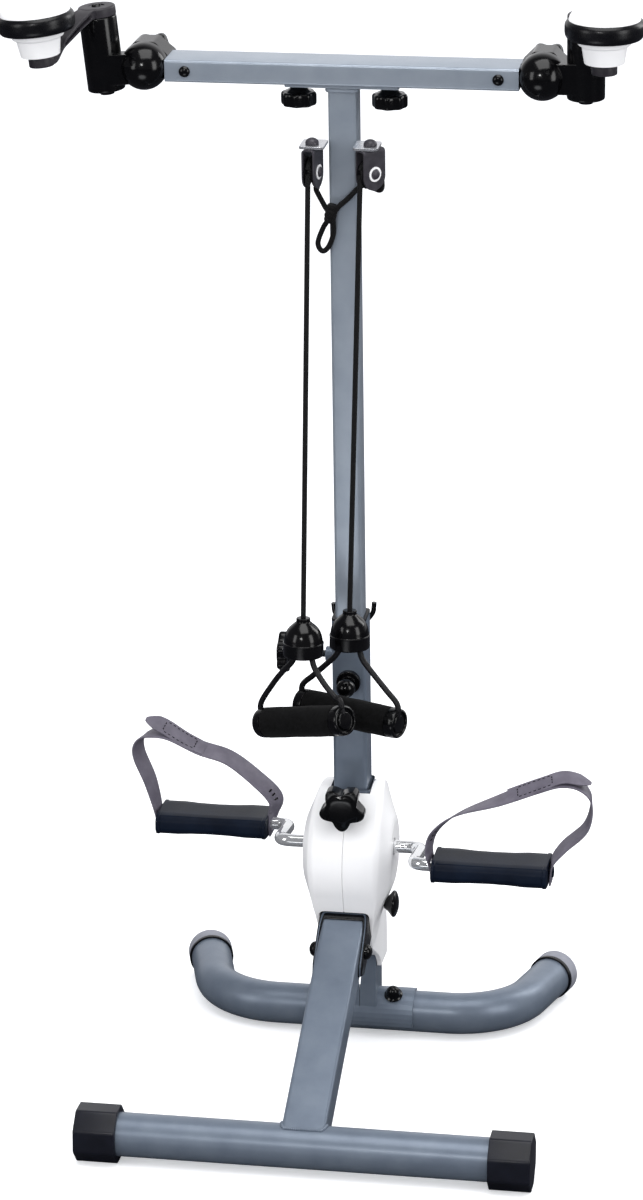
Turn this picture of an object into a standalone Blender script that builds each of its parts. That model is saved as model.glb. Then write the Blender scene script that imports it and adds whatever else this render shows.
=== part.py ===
"""Pedal and arm exerciser: floor frame, foot cranks in a housing, leaning mast,
hand cranks on a cross bar and a pull cord with two handles.

Run with: blender --background --python part.py
Sizes are written in millimetres and turned to metres by mm(). +Z is up, the user sits
on the -Y side, and the origin is on the floor under the middle of the bounding box.
"""
import math

import bmesh
import bpy
from mathutils import Matrix, Vector

# Driving sizes, in millimetres
GAP = 0.3                     # air between touching pieces
SHIFT_X = 13.1                # moves the model so that its bounding box is centred
SHIFT_Y = 60.0

TUBE_OD = 50.0                # floor tubes
TUBE_WALL = 2.0
FRONT_Y = -339.0              # axis of the front floor tube
FRONT_HALF = 259.0            # to the outer face of an end cap
FRONT_CAP_AF = 62.0           # across the flats of the eight-sided cap
FRONT_CAP_LEN = 48.0
REAR_Y = 84.0                 # middle of the rear floor tube
REAR_CAP_AF = 57.0
REAR_CAP_LEN = 38.0
REAR_STRAIGHT = 105.0         # half of its straight middle
REAR_BEND_R = 95.0
REAR_BEND_DEG = 75.0
REAR_TAIL = 88.0              # straight run after each bend
CAP_WALL = 3.0

BEAM_W = 50.0
BEAM_H = 40.0
BEAM_WALL = 2.0
BEAM_TOP_FRONT_Z = 58.6       # top face over the front tube's axis
BEAM_SLOPE_DEG = 27.1
BEAM_END_Y = -54.0            # upper end of the top face
RECEIVER_WALL = 3.0
RECEIVER_LEN = 78.0
BEAM_BOLT_R = 4.0
BEAM_BOLT_BACK = 42.0         # from the receiver's web to the bolt

CRANK_Y = -14.0
CRANK_Z = 276.0
CRANK_R = 80.0                # foot crank radius
CRANK_TURN_DEG = 6.3          # right crank above level, towards the user
CRANK_ROD_R = 7.5
CRANK_BEND_X = 86.0           # plane of the crank arms
PEDAL_IN_X = 111.0
PEDAL_LEN = 134.0

HOUSE_Y = 8.0
HOUSE_Z = 262.0
HOUSE_R = 84.0
HOUSE_CORE_HALF = 36.0
HOUSE_BULGE_HALF = 56.0
HOUSE_WALL = 2.6
LEG_HALF = 26.0

LEAN_DEG = 5.0                # the mast leans towards the user
PIVOT_Z = 400.0               # height where the mast's axis crosses Y = 0
SLEEVE_W = 40.0
SLEEVE_WALL = 1.8
SLEEVE_BOTTOM = 302.0         # along the mast
SLEEVE_TOP = 559.0
MAST_W = 32.0
MAST_WALL = 1.6
MAST_BOTTOM = 345.0
HOLE_PITCH = 25.0             # height holes in the mast
HOLE_COUNT = 6
SOCKET_WALL = 3.0
SOCKET_BOTTOM = 300.0
SOCKET_TOP = 362.0

BAR_TOP = 1219.0
BAR_H = 25.0
BAR_D = 50.0
BAR_WALL = 1.6
BAR_HALF = 197.0
FLANGE_T = 5.0
FLANGE_HALF = 64.0
FLANGE_D = 40.0
BAR_KNOB_X = 51.0
BAR_KNOB_R = 20.0
BAR_KNOB_H = 15.0
BAR_SCREW_X = BAR_HALF - 22.5

JOINT_OUT = 25.0              # the arm's tilt axis, beyond the bar's end
JOINT_X = BAR_HALF + JOINT_OUT
JOINT_R = 26.0
TILT_KNOB_R = 25.0
TILT_KNOB_Y = 42.6
TUBE_OUT = 47.0               # the bearing tube's axis, beyond the tilt axis
TUBE_X = JOINT_X + TUBE_OUT
ARM_TUBE_R = 21.0
ARM_TUBE_DOWN = 35.0          # the bearing tube, below and above the bar's top
ARM_TUBE_UP = 49.0
ARM_TUBE_BOTTOM = BAR_TOP - ARM_TUBE_DOWN
ARM_TUBE_TOP = BAR_TOP + ARM_TUBE_UP
ARM_TUBE_Y = -8.0
LEFT_TILT_DEG = 5.5           # the left arm leans outwards
HAND_R = 106.0                # hand crank radius
HAND_DROP = 24.0
LEFT_HAND_DEG = 245.0         # where each hand crank points at rest
RIGHT_HAND_DEG = 286.4
GRIP_R = 42.5
GRIP_RING_T = 15.0
GRIP_TOP = 30.0               # dome above the ring's middle
GRIP_HUB_H = 38.0

FRONT_KNOB_Y = -76.0
FRONT_KNOB_Z = 349.0
FRONT_KNOB_R = 27.5
SIDE_KNOB_X = -79.0
SIDE_KNOB_Z = 510.0
SIDE_KNOB_R = 25.0
PIN_Z = 485.0
PIN_R = 4.0
PIN_TIP = 3.6                 # drawn back: short of the mast by about GAP

TAB_Z = 1129.5                # plates on the mast that carry the pulleys
TAB_T = 3.0
TAB_OUT = 44.0
PULLEYS = ((-31.0, -10.0), (34.0, -40.0))   # place along X and turn of each pulley
PULLEY_Y = -34.0
PULLEY_Z = 1100.0
WHEEL_R = 17.0
WHEEL_W = 9.0
ROPE_R = 3.0
ROPE_PITCH_R = 15.0
YOKE_GAP = 11.0
YOKE_T = 2.0
YOKE_W = 26.0

HANDLES = ((-36.0, -129.0, 587.0, -35.0), (10.5, -87.0, 586.0, -25.0))   # cord entry and turn
HANDLE_ROLLS = (14.0, 0.0)    # the left grip hangs with its right end higher
BELL_H = 45.0
BELL_R = 23.0
FOAM_R = 18.0
FOAM_LEN = 108.0
HANDLE_DROP = 124.0           # cord entry to grip axis
YOKE_CORD_R = 4.2

FLY_Y = 30.0                  # flywheel axle
FLY_Z = 236.0
FLY_R = 38.0
FLY_HALF = 8.0
WHEEL_DRIVE_R = 38.0          # belt radius on the crank
PULLEY_DRIVE_R = 12.0         # belt radius on the flywheel
BELT_X = 32.5
BELT_W = 5.0
CHEEK_OUT = 20.0              # outer faces of the spine's side plates
CHEEK_T = 3.0
CAM_Y = -20.0
CAM_Z = 206.0
CAM_R = 5.0
CAM_RISE = 2.1
CAM_SWEEP_DEG = 270.0
BRAKE_Y = 34.0
BRAKE_Z = 180.0

LEAN = math.radians(LEAN_DEG)
MAST_FOOT_Y = PIVOT_Z * math.tan(LEAN)
BEAM_SLOPE = math.radians(BEAM_SLOPE_DEG)
FRONT_TUBE_Z = FRONT_CAP_AF / 2
REAR_TUBE_Z = REAR_CAP_AF / 2
BEAM_TOP_Z = BEAM_TOP_FRONT_Z + (BEAM_END_Y - FRONT_Y) * math.tan(BEAM_SLOPE)

STEEL_GREY = ((0.20, 0.24, 0.29), 0.35, 0.8)
SILVER = ((0.42, 0.45, 0.50), 0.3, 0.8)
CHROME = ((0.80, 0.80, 0.82), 0.1, 1.0)
BLACK_GLOSS = ((0.01, 0.01, 0.012), 0.2, 0.0)
BLACK_MATTE = ((0.02, 0.02, 0.025), 0.6, 0.0)
WHITE = ((0.80, 0.80, 0.80), 0.4, 0.0)
RAW_STEEL = ((0.45, 0.45, 0.47), 0.4, 1.0)
RUBBER = ((0.02, 0.02, 0.02), 0.8, 0.0)


def mm(value):
    return value * 0.001


def vec(point):
    return Vector([mm(c) for c in point])


for old in list(bpy.data.objects):
    bpy.data.objects.remove(old, do_unlink=True)

PARTS = bpy.data.collections.new("pedal_and_arm_exerciser")
CUTTERS = bpy.data.collections.new("cutters")
bpy.context.scene.collection.children.link(PARTS)
bpy.context.scene.collection.children.link(CUTTERS)


def add_empty(name, matrix, parent=None):
    empty = bpy.data.objects.new(name, None)
    PARTS.objects.link(empty)
    empty.parent = parent
    empty.matrix_local = matrix
    return empty


BASE = add_empty("base_frame", Matrix.Translation(vec((SHIFT_X, SHIFT_Y, 0))))
MAST = add_empty("mast_frame", Matrix.Translation(vec((0, MAST_FOOT_Y, 0)))
                 @ Matrix.Rotation(LEAN, 4, "X"), BASE)


def finish_material(obj, look):
    colour, roughness, metallic = look
    material = bpy.data.materials.new(obj.name)
    material.use_nodes = True
    shader = material.node_tree.nodes["Principled BSDF"]
    shader.inputs["Base Color"].default_value = (*colour, 1)
    shader.inputs["Roughness"].default_value = roughness
    shader.inputs["Metallic"].default_value = metallic
    obj.data.materials.clear()
    obj.data.materials.append(material)


def place(obj, at=(0, 0, 0), turn=None, parent=BASE):
    """Set an object under its frame; turn is a rotation matrix."""
    obj.parent = parent
    obj.matrix_local = Matrix.Translation(vec(at)) @ (turn or Matrix.Identity(4))
    return obj


def as_part(obj, look):
    PARTS.objects.link(obj)
    finish_material(obj, look)
    return obj


def as_cutter(obj):
    CUTTERS.objects.link(obj)
    obj.hide_render = True
    obj.display_type = "WIRE"
    return obj


def keep(obj, look):
    """A look makes a part, None makes a cutter."""
    return as_cutter(obj) if look is None else as_part(obj, look)


def mesh_object(name, bm, smooth=False):
    bmesh.ops.recalc_face_normals(bm, faces=bm.faces)
    mesh = bpy.data.meshes.new(name)
    bm.to_mesh(mesh)
    bm.free()
    if smooth:
        mesh.shade_smooth()
        mesh.set_sharp_from_angle(angle=math.radians(35))
    return bpy.data.objects.new(name, mesh)


def block(name, size, look, at=(0, 0, 0), turn=None, parent=BASE, bevel=0.0, segments=2):
    bm = bmesh.new()
    bmesh.ops.create_cube(bm, size=1.0)
    bmesh.ops.scale(bm, vec=vec(size), verts=bm.verts)
    obj = keep(mesh_object(name, bm), look)
    if bevel:
        rounding = obj.modifiers.new("edges", "BEVEL")
        rounding.width = mm(bevel)
        rounding.segments = segments
    return place(obj, at, turn, parent)


ALONG = {"X": Matrix.Rotation(math.pi / 2, 4, "Y"), "-X": Matrix.Rotation(-math.pi / 2, 4, "Y"),
         "Y": Matrix.Rotation(-math.pi / 2, 4, "X"), "-Y": Matrix.Rotation(math.pi / 2, 4, "X"),
         "Z": Matrix.Identity(4), "-Z": Matrix.Rotation(math.pi, 4, "X")}


def rod(name, radius, length, look, at=(0, 0, 0), along="Z", parent=BASE, sides=14, turn=None):
    bm = bmesh.new()
    bmesh.ops.create_cone(bm, cap_ends=True, segments=sides, radius1=mm(radius),
                          radius2=mm(radius), depth=mm(length))
    obj = keep(mesh_object(name, bm, True), look)
    return place(obj, at, turn or ALONG[along], parent)


def bore(radius, sides=18):
    """Corner radius of a many-sided hole whose flats clear a shaft by GAP."""
    return (radius + GAP) / math.cos(math.pi / sides)


def hole(name, radius, length, at=(0, 0, 0), along="Z", parent=BASE, sides=12, turn=None):
    """A cutter for a hole that clears a shaft of this radius."""
    return rod(name, bore(radius, sides), length, None, at, along, parent, sides, turn)


def turned(name, profile, look, at=(0, 0, 0), along="Z", parent=BASE, sides=18, turn=None):
    """Turn a profile of (radius, height) points, listed from its top down the outside.

    A profile that leaves the axis open is a ring and is closed back to its first point.
    """
    bm = bmesh.new()
    points = [bm.verts.new((mm(r), 0, mm(h))) for r, h in profile]
    for a, b in zip(points, points[1:]):
        bm.edges.new((a, b))
    if profile[0][0] > 0:
        bm.edges.new((points[-1], points[0]))
    mesh = bpy.data.meshes.new(name)
    bm.to_mesh(mesh)
    bm.free()
    obj = keep(bpy.data.objects.new(name, mesh), look)
    screw = obj.modifiers.new("turn", "SCREW")
    screw.axis = "Z"
    screw.steps = sides
    screw.render_steps = sides
    screw.use_merge_vertices = True
    screw.merge_threshold = 0.00005
    screw.use_smooth_shade = True
    return place(obj, at, turn or ALONG[along], parent)


def outline(name, loops, thickness, look, at=(0, 0, 0), turn=None, parent=BASE):
    """A plate from a flat closed loop in its local XY plane.

    A second loop with as many points is a hole, and each of its points faces one outside.
    """
    bm = bmesh.new()
    half = mm(thickness) / 2
    low, high = [[[bm.verts.new((mm(x), mm(y), z)) for x, y in loop] for loop in loops] for z in (-half, half)]
    for one, two in zip(low, high):
        for i in range(len(one)):
            bm.faces.new((one[i - 1], one[i], two[i], two[i - 1]))
    for level in (low, high):
        if len(loops) == 1:
            bm.faces.new(level[0])
            continue
        for i in range(len(level[0])):
            bm.faces.new((level[0][i - 1], level[0][i], level[1][i], level[1][i - 1]))
    return place(keep(mesh_object(name, bm, True), look), at, turn, parent)


def to_mesh(curve_object, look):
    """Turn a curve into a welded closed mesh object."""
    bpy.context.scene.collection.objects.link(curve_object)
    bpy.context.view_layer.update()
    evaluated = curve_object.evaluated_get(bpy.context.evaluated_depsgraph_get())
    mesh = bpy.data.meshes.new_from_object(evaluated)
    name = curve_object.name
    data = curve_object.data
    bpy.data.objects.remove(curve_object, do_unlink=True)
    bpy.data.curves.remove(data)
    bm = bmesh.new()
    bm.from_mesh(mesh)
    bpy.data.meshes.remove(mesh)
    bmesh.ops.remove_doubles(bm, verts=bm.verts, dist=0.00002)
    return keep(mesh_object(name, bm, True), look)


def pipe(name, points, radius, look, parent=BASE, resolution=2, at=(0, 0, 0), turn=None):
    """A round bar along a list of points."""
    curve = bpy.data.curves.new(name, "CURVE")
    curve.dimensions = "3D"
    curve.bevel_depth = mm(radius)
    curve.bevel_resolution = resolution
    curve.use_fill_caps = True
    spline = curve.splines.new("POLY")
    spline.points.add(len(points) - 1)
    for point, co in zip(spline.points, points):
        point.co = (*vec(co), 1)
    return place(to_mesh(bpy.data.objects.new(name, curve), look), at, turn, parent)


def boolean(target, other, operation="DIFFERENCE"):
    step = target.modifiers.new(other.name, "BOOLEAN")
    step.operation = operation
    step.object = other
    step.solver = "EXACT"
    return target


def arc(centre, radius, start, end, steps):
    """Points on an arc in a plane, with angles in degrees."""
    turns = [math.radians(start + (end - start) * i / steps) for i in range(steps + 1)]
    return [(centre[0] + radius * math.cos(a), centre[1] + radius * math.sin(a)) for a in turns]


def rounded_rectangle(width, height, radius, steps=2):
    w, h = width / 2 - radius, height / 2 - radius
    corners = ((w, h, 0), (-w, h, 90), (-w, -h, 180), (w, -h, 270))
    return [p for x, y, a in corners for p in arc((x, y), radius, a, a + 90, steps)]


def square_tube(name, width, depth, wall, length, look, at, turn=None, parent=BASE, corner=4.0):
    """A rectangular tube along its local Z, with rounded corners."""
    loops = [rounded_rectangle(width, depth, corner),
             rounded_rectangle(width - 2 * wall, depth - 2 * wall, max(corner - wall, 0.8))]
    return outline(name, loops, length, look, at, turn, parent)


def star(lobes, outer, inner, steps=4):
    """A knob's outline: a circle whose radius swells at each lobe."""
    count = lobes * steps
    points = []
    for i in range(count):
        angle = 2 * math.pi * i / count
        radius = inner + (outer - inner) * (0.5 + 0.5 * math.cos(lobes * angle))
        points.append((radius * math.cos(angle), radius * math.sin(angle)))
    return points


def smooth_path(points, steps):
    """A Catmull-Rom curve through points, with a number of steps to each span."""
    spans = [Vector(p) for p in points]
    ends = [2 * spans[0] - spans[1]] + spans + [2 * spans[-1] - spans[-2]]
    path = []
    for a, b, c, d in zip(ends, ends[1:], ends[2:], ends[3:]):
        for i in range(steps):
            t = i / steps
            path.append(0.5 * ((2 * b) + (c - a) * t + (2 * a - 5 * b + 4 * c - d) * t * t
                               + (3 * b - a - 3 * c + d) * t ** 3))
    return [tuple(p) for p in path + [spans[-1]]]


def join_all(target, *others):
    for other in others:
        boolean(target, other, "UNION")
    return target


def mast_to_base(point):
    """A point of the leaning mast frame in the base frame, in millimetres."""
    x, y, z = point
    return (x, MAST_FOOT_Y + y * math.cos(LEAN) - z * math.sin(LEAN),
            y * math.sin(LEAN) + z * math.cos(LEAN))


def floor_tubes():
    half = FRONT_HALF - CAP_WALL - GAP
    inner = TUBE_OD / 2 - TUBE_WALL
    turned("front_floor_tube", [(TUBE_OD / 2, half), (TUBE_OD / 2, -half), (inner, -half), (inner, half)],
           STEEL_GREY, (0, FRONT_Y, FRONT_TUBE_Z), "X", sides=28)
    tube = pipe("rear_floor_tube", rear_path(REAR_TAIL), TUBE_OD / 2, STEEL_GREY, resolution=4)
    boolean(tube, pipe("rear_tube_bore", rear_path(REAR_TAIL + 5), inner, None, resolution=4))
    boolean(tube, saddle_bolt_cutters()[0])
    boolean(tube, saddle_bolt_cutters()[1])


def rear_path(tail):
    bend = math.radians(REAR_BEND_DEG)
    steps = [bend * i / 5 for i in range(6)]
    run = [(REAR_STRAIGHT + REAR_BEND_R * math.sin(a), REAR_Y + REAR_BEND_R * (1 - math.cos(a)))
           for a in steps]
    x, y = run[-1]
    run.append((x + tail * math.cos(bend), y + tail * math.sin(bend)))
    return [(-x, y, REAR_TUBE_Z) for x, y in reversed(run)] + [(x, y, REAR_TUBE_Z) for x, y in run]


def octagon(across):
    corner = across / 2 / math.cos(math.pi / 8)
    turns = [math.pi / 8 + i * math.pi / 4 for i in range(8)]
    return [(corner * math.cos(a), corner * math.sin(a)) for a in turns]


def end_cap(name, across, length, face, out, look):
    """An eight-sided cap with a blind bore; face is the middle of its closed end."""
    face, out = Vector(face), Vector(out)
    turn = out.to_track_quat("Z", "Y").to_matrix().to_4x4()
    cap = outline(name, [octagon(across)], length, look, tuple(face - out * length / 2), turn)
    boolean(cap, hole(name + "_bore", TUBE_OD / 2, length,
                      tuple(face - out * (length / 2 + CAP_WALL)), turn=turn, sides=28))


def end_caps():
    x, y = rear_path(REAR_TAIL)[-1][:2]
    bend = math.radians(REAR_BEND_DEG)
    reach = CAP_WALL + GAP
    for side, name in ((-1, "left"), (1, "right")):
        end_cap("front_cap_" + name, FRONT_CAP_AF, FRONT_CAP_LEN, (side * FRONT_HALF, FRONT_Y, FRONT_TUBE_Z),
                (side, 0, 0), BLACK_GLOSS)
        out = (side * math.cos(bend), math.sin(bend), 0)
        end_cap("rear_cap_" + name, REAR_CAP_AF, REAR_CAP_LEN,
                (side * x + reach * out[0], y + reach * out[1], REAR_TUBE_Z), out, BLACK_MATTE)


def saddle_bolt_axis(x, lift):
    """A point on a saddle bolt, lifted off the rear tube's axis."""
    a = math.radians(120)
    return (x, REAR_Y + lift * math.cos(a), REAR_TUBE_Z + lift * math.sin(a))


SADDLE_TURN = Matrix.Rotation(math.radians(30), 4, "X")
SADDLE_BOLT_X = 40.0
SADDLE_T = 3.0
BOLT_R = 4.0


def saddle_bolt_cutters():
    return [hole("saddle_hole_%d" % side, BOLT_R, 20,
                 saddle_bolt_axis(side * SADDLE_BOLT_X, TUBE_OD / 2), turn=SADDLE_TURN)
            for side in (-1, 1)]


def saddle_bolts():
    foot = TUBE_OD / 2 + 2 * GAP + SADDLE_T
    head = [(0, foot + 14), (6, foot + 13), (8.5, foot + 9), (8.5, foot + 3), (11, foot + 2.5),
            (11, foot), (BOLT_R, foot), (BOLT_R, TUBE_OD / 2 - 8), (0, TUBE_OD / 2 - 8)]
    for side, name in ((-1, "left"), (1, "right")):
        turned("saddle_bolt_" + name, head, BLACK_GLOSS, saddle_bolt_axis(side * SADDLE_BOLT_X, 0),
               turn=SADDLE_TURN, sides=12)


def saddle_plate():
    inner = TUBE_OD / 2 + GAP
    loop = arc((REAR_Y, REAR_TUBE_Z), inner + SADDLE_T, 62, 205, 12)
    loop += arc((REAR_Y, REAR_TUBE_Z), inner, 205, 62, 12)
    return outline("saddle_plate", [loop], 130, None, turn=YZ_TURN)


# Turns an outline drawn in (Y, Z) so that its thickness runs along X
YZ_TURN = Matrix(((0, 0, 1, 0), (1, 0, 0, 0), (0, 1, 0, 0), (0, 0, 0, 1)))
# Turns an outline drawn in (X, Z) so that its thickness runs along Y
XZ_TURN = Matrix(((1, 0, 0, 0), (0, 0, -1, 0), (0, 1, 0, 0), (0, 0, 0, 1)))
BEAM_TURN = Matrix.Rotation(BEAM_SLOPE - math.pi / 2, 4, "X")


def on_beam(back, lift):
    """A point in the base frame, back from the beam's upper end and off its axis."""
    up = lift - BEAM_H / 2
    return (0, BEAM_END_Y - back * math.cos(BEAM_SLOPE) - up * math.sin(BEAM_SLOPE),
            BEAM_TOP_Z - back * math.sin(BEAM_SLOPE) + up * math.cos(BEAM_SLOPE))


def beam_and_receiver():
    rise = BEAM_TOP_Z - FRONT_TUBE_Z
    length = (BEAM_END_Y - FRONT_Y) * math.cos(BEAM_SLOPE) + rise * math.sin(BEAM_SLOPE)
    beam = square_tube("main_beam", BEAM_W, BEAM_H, BEAM_WALL, length, STEEL_GREY,
                       on_beam(length / 2, 0), BEAM_TURN)
    boolean(beam, hole("beam_cope", TUBE_OD / 2, 2 * BEAM_W, (0, FRONT_Y, FRONT_TUBE_Z), "X", sides=28))
    across = hole("beam_bolt_hole", BEAM_BOLT_R, 3 * BEAM_W, on_beam(BEAM_BOLT_BACK, 0), "X")
    boolean(beam, across)

    inside = BEAM_W / 2 + GAP
    reach = inside + RECEIVER_WALL
    back = -GAP - RECEIVER_WALL
    low = -BEAM_H / 2
    high = BEAM_H / 2 + GAP + RECEIVER_WALL
    side_loop = [(back, high), (8, high), (20, BEAM_H / 2), (RECEIVER_LEN - 8, 6),
                 (RECEIVER_LEN, -4), (RECEIVER_LEN - 18, low), (back, low)]
    points = [on_beam(b, h) for b, h in side_loop]
    receiver = outline("beam_receiver", [[(y, z) for x, y, z in points]], 2 * reach, BLACK_GLOSS, turn=YZ_TURN)
    room = block("receiver_room", (2 * inside, BEAM_H + 2 * GAP + 60, 2 * RECEIVER_LEN), None,
                 on_beam(RECEIVER_LEN - GAP, -30), BEAM_TURN)
    boolean(receiver, room)
    boolean(receiver, across)
    foot = reach + GAP
    dome = [(0, foot + 8), (5, foot + 7), (9, foot + 3), (9, foot), (BEAM_BOLT_R, foot)]
    turned("beam_bolt", dome + [(r, -h) for r, h in reversed(dome)], BLACK_GLOSS,
           on_beam(BEAM_BOLT_BACK, 0), "X", sides=12)


def spine():
    """Saddle, side plates and mast socket in one welding, with the crank's bearing shell."""
    foot = TUBE_OD / 2 + GAP + SADDLE_T - 1
    feet = arc((REAR_Y, REAR_TUBE_Z), foot, 153, 27, 6)
    web = [on_beam(-2 * GAP - RECEIVER_WALL, lift) for lift in (-BEAM_H / 2, BEAM_H / 2 + 3)]
    loop = [(y, z) for y, z in feet]
    loop += [(108, 60), (104, 120), (80, 172), (52, 226), (42, 262), (32, 297), (-16, 294), (-33, 286),
             (-33, 262), (-40, 235), web[1][1:], web[0][1:], (20, 140), (58.5, 118)]
    x = CHEEK_OUT - CHEEK_T / 2
    body = outline("spine", [loop], CHEEK_T, STEEL_GREY, (-x, 0, 0), YZ_TURN)
    right = outline("spine_right", [loop], CHEEK_T, None, (x, 0, 0), YZ_TURN)
    notch = [(-CHEEK_OUT, 0), (CHEEK_OUT, 0), (CHEEK_OUT, 77), (13.5, 77), (1.5, 36), (0, 12),
             (-1.5, 36), (-13.5, 77), (-CHEEK_OUT, 77)]
    front = outline("spine_front", [notch], CHEEK_T, None, (0, 60, REAR_TUBE_Z + 13.5), XZ_TURN)
    shelf = block("spine_shelf", (47, 47, 3), None, (0, 0, SOCKET_BOTTOM - 1.4), parent=MAST)
    outer = SLEEVE_W + 1 + 2 * SOCKET_WALL
    socket = square_tube("spine_socket", outer, outer, SOCKET_WALL, SOCKET_TOP - SOCKET_BOTTOM, None,
                         (0, 0, (SOCKET_TOP + SOCKET_BOTTOM) / 2), parent=MAST, corner=5)
    shell = rod("spine_shell", 16, 56, None, (0, CRANK_Y, CRANK_Z), "X", sides=18)
    pin = rod("spine_pin", 4, 2 * CHEEK_OUT - 1, None, (0, BRAKE_Y, BRAKE_Z), "X", sides=12)
    nut = rod("spine_nut", 9, 9, None, (0, -outer / 2 - 4, FRONT_KNOB_Z), "Y", MAST, 6)
    join_all(body, saddle_plate(), right, front, shelf, socket, shell, pin, nut)
    for cutter in saddle_bolt_cutters():
        boolean(body, cutter)
    for name, radius, y, z in (("shell_bore", CRANK_ROD_R, CRANK_Y, CRANK_Z), ("fly_holes", 5, FLY_Y, FLY_Z),
                               ("cam_holes", BOLT_R, CAM_Y, CAM_Z)):
        boolean(body, hole(name, radius, 80, (0, y, z), "X", sides=16))
    boolean(body, hole("knob_bolt_hole", BOLT_R, 30, (0, -outer / 2 - 6, FRONT_KNOB_Z), "Y", MAST))
    between = block("spine_between", (0.6, 3, 40), None, (0, 60, REAR_TUBE_Z + 16))
    boolean(body, between)


def rounded_corners(points, radius, steps=3):
    """Replace the inner corners of a path by arcs."""
    made = [Vector(points[0])]
    for a, b, c in zip(points, points[1:], points[2:]):
        a, b, c = Vector(a), Vector(b), Vector(c)
        start, end = b + (a - b).normalized() * radius, b + (c - b).normalized() * radius
        made += [start.lerp(b, t).lerp(b.lerp(end, t), t) for t in [i / steps for i in range(steps + 1)]]
    return [tuple(p) for p in made + [Vector(points[-1])]]


def crank_and_pedals():
    turn = math.radians(CRANK_TURN_DEG)
    y, z = -CRANK_R * math.cos(turn), CRANK_R * math.sin(turn)
    tip = PEDAL_IN_X + PEDAL_LEN - 8
    path = [(-tip, -y, -z), (-CRANK_BEND_X, -y, -z), (-CRANK_BEND_X, 0, 0),
            (CRANK_BEND_X, 0, 0), (CRANK_BEND_X, y, z), (tip, y, z)]
    pipe("crank", rounded_corners(path, 14), CRANK_ROD_R, CHROME, at=(0, CRANK_Y, CRANK_Z), resolution=2)
    for side, name in ((-1, "left"), (1, "right")):
        pedal_and_strap(side, name, CRANK_Y + side * y, CRANK_Z + side * z)


PEDAL_SECTION = [(-35, 6), (-31, 12), (-20, 13.5), (20, 13.5), (31, 12), (35, 6), (35, -5),
                 (30, -11), (14, -13.5), (-14, -13.5), (-30, -11), (-35, -5)]
PEDAL_STATIONS = ((0, 0.86), (3, 1.0), (26, 1.0), (44, 0.9), (90, 0.9), (108, 1.0),
                  (PEDAL_LEN - 3, 1.0), (PEDAL_LEN, 0.86))
STRAP_W = 23.0
STRAP_T = 2.0
# Centre lines of the straps: X, from the pedal's ends, and height from the pedal's middle
START = PEDAL_IN_X
END = PEDAL_IN_X + PEDAL_LEN
STRAP_LOOP = {
    -1: [(-END - 2.1, -13), (-END - 2.1, 6), (-END - 12, 45), (-END - 26, 80), (-END - 24, 98), (-END - 10, 106),
         (-END + 13, 106), (-END + 49, 91), (-START - 49, 80), (-START - 15, 55), (-START + 7, 32),
         (-START + 4.5, 12), (-START + 2.1, -2), (-START + 2.1, -13)],
    1: [(START - 2.1, -13), (START - 2.1, -2), (START - 6, 20), (START + 1, 42), (START + 27, 64), (END - 58, 84),
        (END - 15, 103), (END + 11, 111), (END + 33, 107), (END + 47, 90), (END + 42, 58), (END + 17, 32),
        (END + 4, 14), (END + 2.1, -2), (END + 2.1, -13)]}
STRAP_FLAP = {
    -1: [(-END + 55, 89.5), (-END + 30, 101), (-END + 5, 116), (-END - 17, 124)],
    1: [(END - 49, 89), (END - 10, 106), (END + 17, 116), (END + 47, 110)]}


def pedal_and_strap(side, name, y, z):
    bm = bmesh.new()
    rings = []
    for along, scale in PEDAL_STATIONS:
        x = side * (PEDAL_IN_X + along)
        rings.append([bm.verts.new((mm(x), mm(a * scale), mm(b * scale))) for a, b in PEDAL_SECTION])
    for one, two in zip(rings, rings[1:]):
        for i in range(len(one)):
            bm.faces.new((one[i - 1], one[i], two[i], two[i - 1]))
    bm.faces.new(rings[0])
    bm.faces.new(list(reversed(rings[-1])))
    pedal = place(as_part(mesh_object("pedal_" + name, bm, True), BLACK_MATTE), (0, y, z))
    boolean(pedal, hole("pedal_bore_" + name, CRANK_ROD_R, PEDAL_LEN,
                        (side * (PEDAL_IN_X + PEDAL_LEN / 2 - 6), y, z), "X", sides=16))
    end = side * (PEDAL_IN_X + PEDAL_LEN)
    peg = [(0, 6), (6.5, 5.5), (6.5, 4.2), (4, 4.2), (4, -3), (0, -3)]
    join_all(pedal, turned("peg_" + name, peg, None, (end, y, z), "X" if side > 0 else "-X", sides=16))


def band_loop(path, thickness):
    """The closed outline of a strip of even thickness along a flat path."""
    left, right = [], []
    for i, p in enumerate(path):
        a, b = Vector(path[max(i - 1, 0)][:2]), Vector(path[min(i + 1, len(path) - 1)][:2])
        along = (b - a).normalized()
        normal = Vector((-along.y, along.x)) * thickness / 2
        left.append(tuple(Vector(p[:2]) + normal))
        right.append(tuple(Vector(p[:2]) - normal))
    return left + right[::-1]


def straps():
    turn = math.radians(CRANK_TURN_DEG)
    y, z = -CRANK_R * math.cos(turn), CRANK_R * math.sin(turn)
    for side, name in ((-1, "left"), (1, "right")):
        at = (0, CRANK_Y + side * y, CRANK_Z + side * z)
        loop = [p[:2] for p in smooth_path([(a, b, 0) for a, b in STRAP_LOOP[side]], 2)]
        flap = [p[:2] for p in smooth_path([(a, b, 0) for a, b in STRAP_FLAP[side]], 2)]
        strap = outline("strap_" + name, [band_loop(loop, STRAP_T)], STRAP_W, BLACK_MATTE, at, XZ_TURN)
        join_all(strap, outline("strap_flap_" + name, [band_loop(flap, STRAP_T)], STRAP_W - 1, None, at, XZ_TURN))
        inner = (side * PEDAL_IN_X, at[1], at[2])
        outer = (side * (PEDAL_IN_X + PEDAL_LEN), at[1], at[2])
        boolean(strap, hole("strap_hole_in_" + name, CRANK_ROD_R + GAP, 20, inner, "X", sides=16))
        boolean(strap, hole("strap_hole_out_" + name, 4, 20, outer, "X"))


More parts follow.
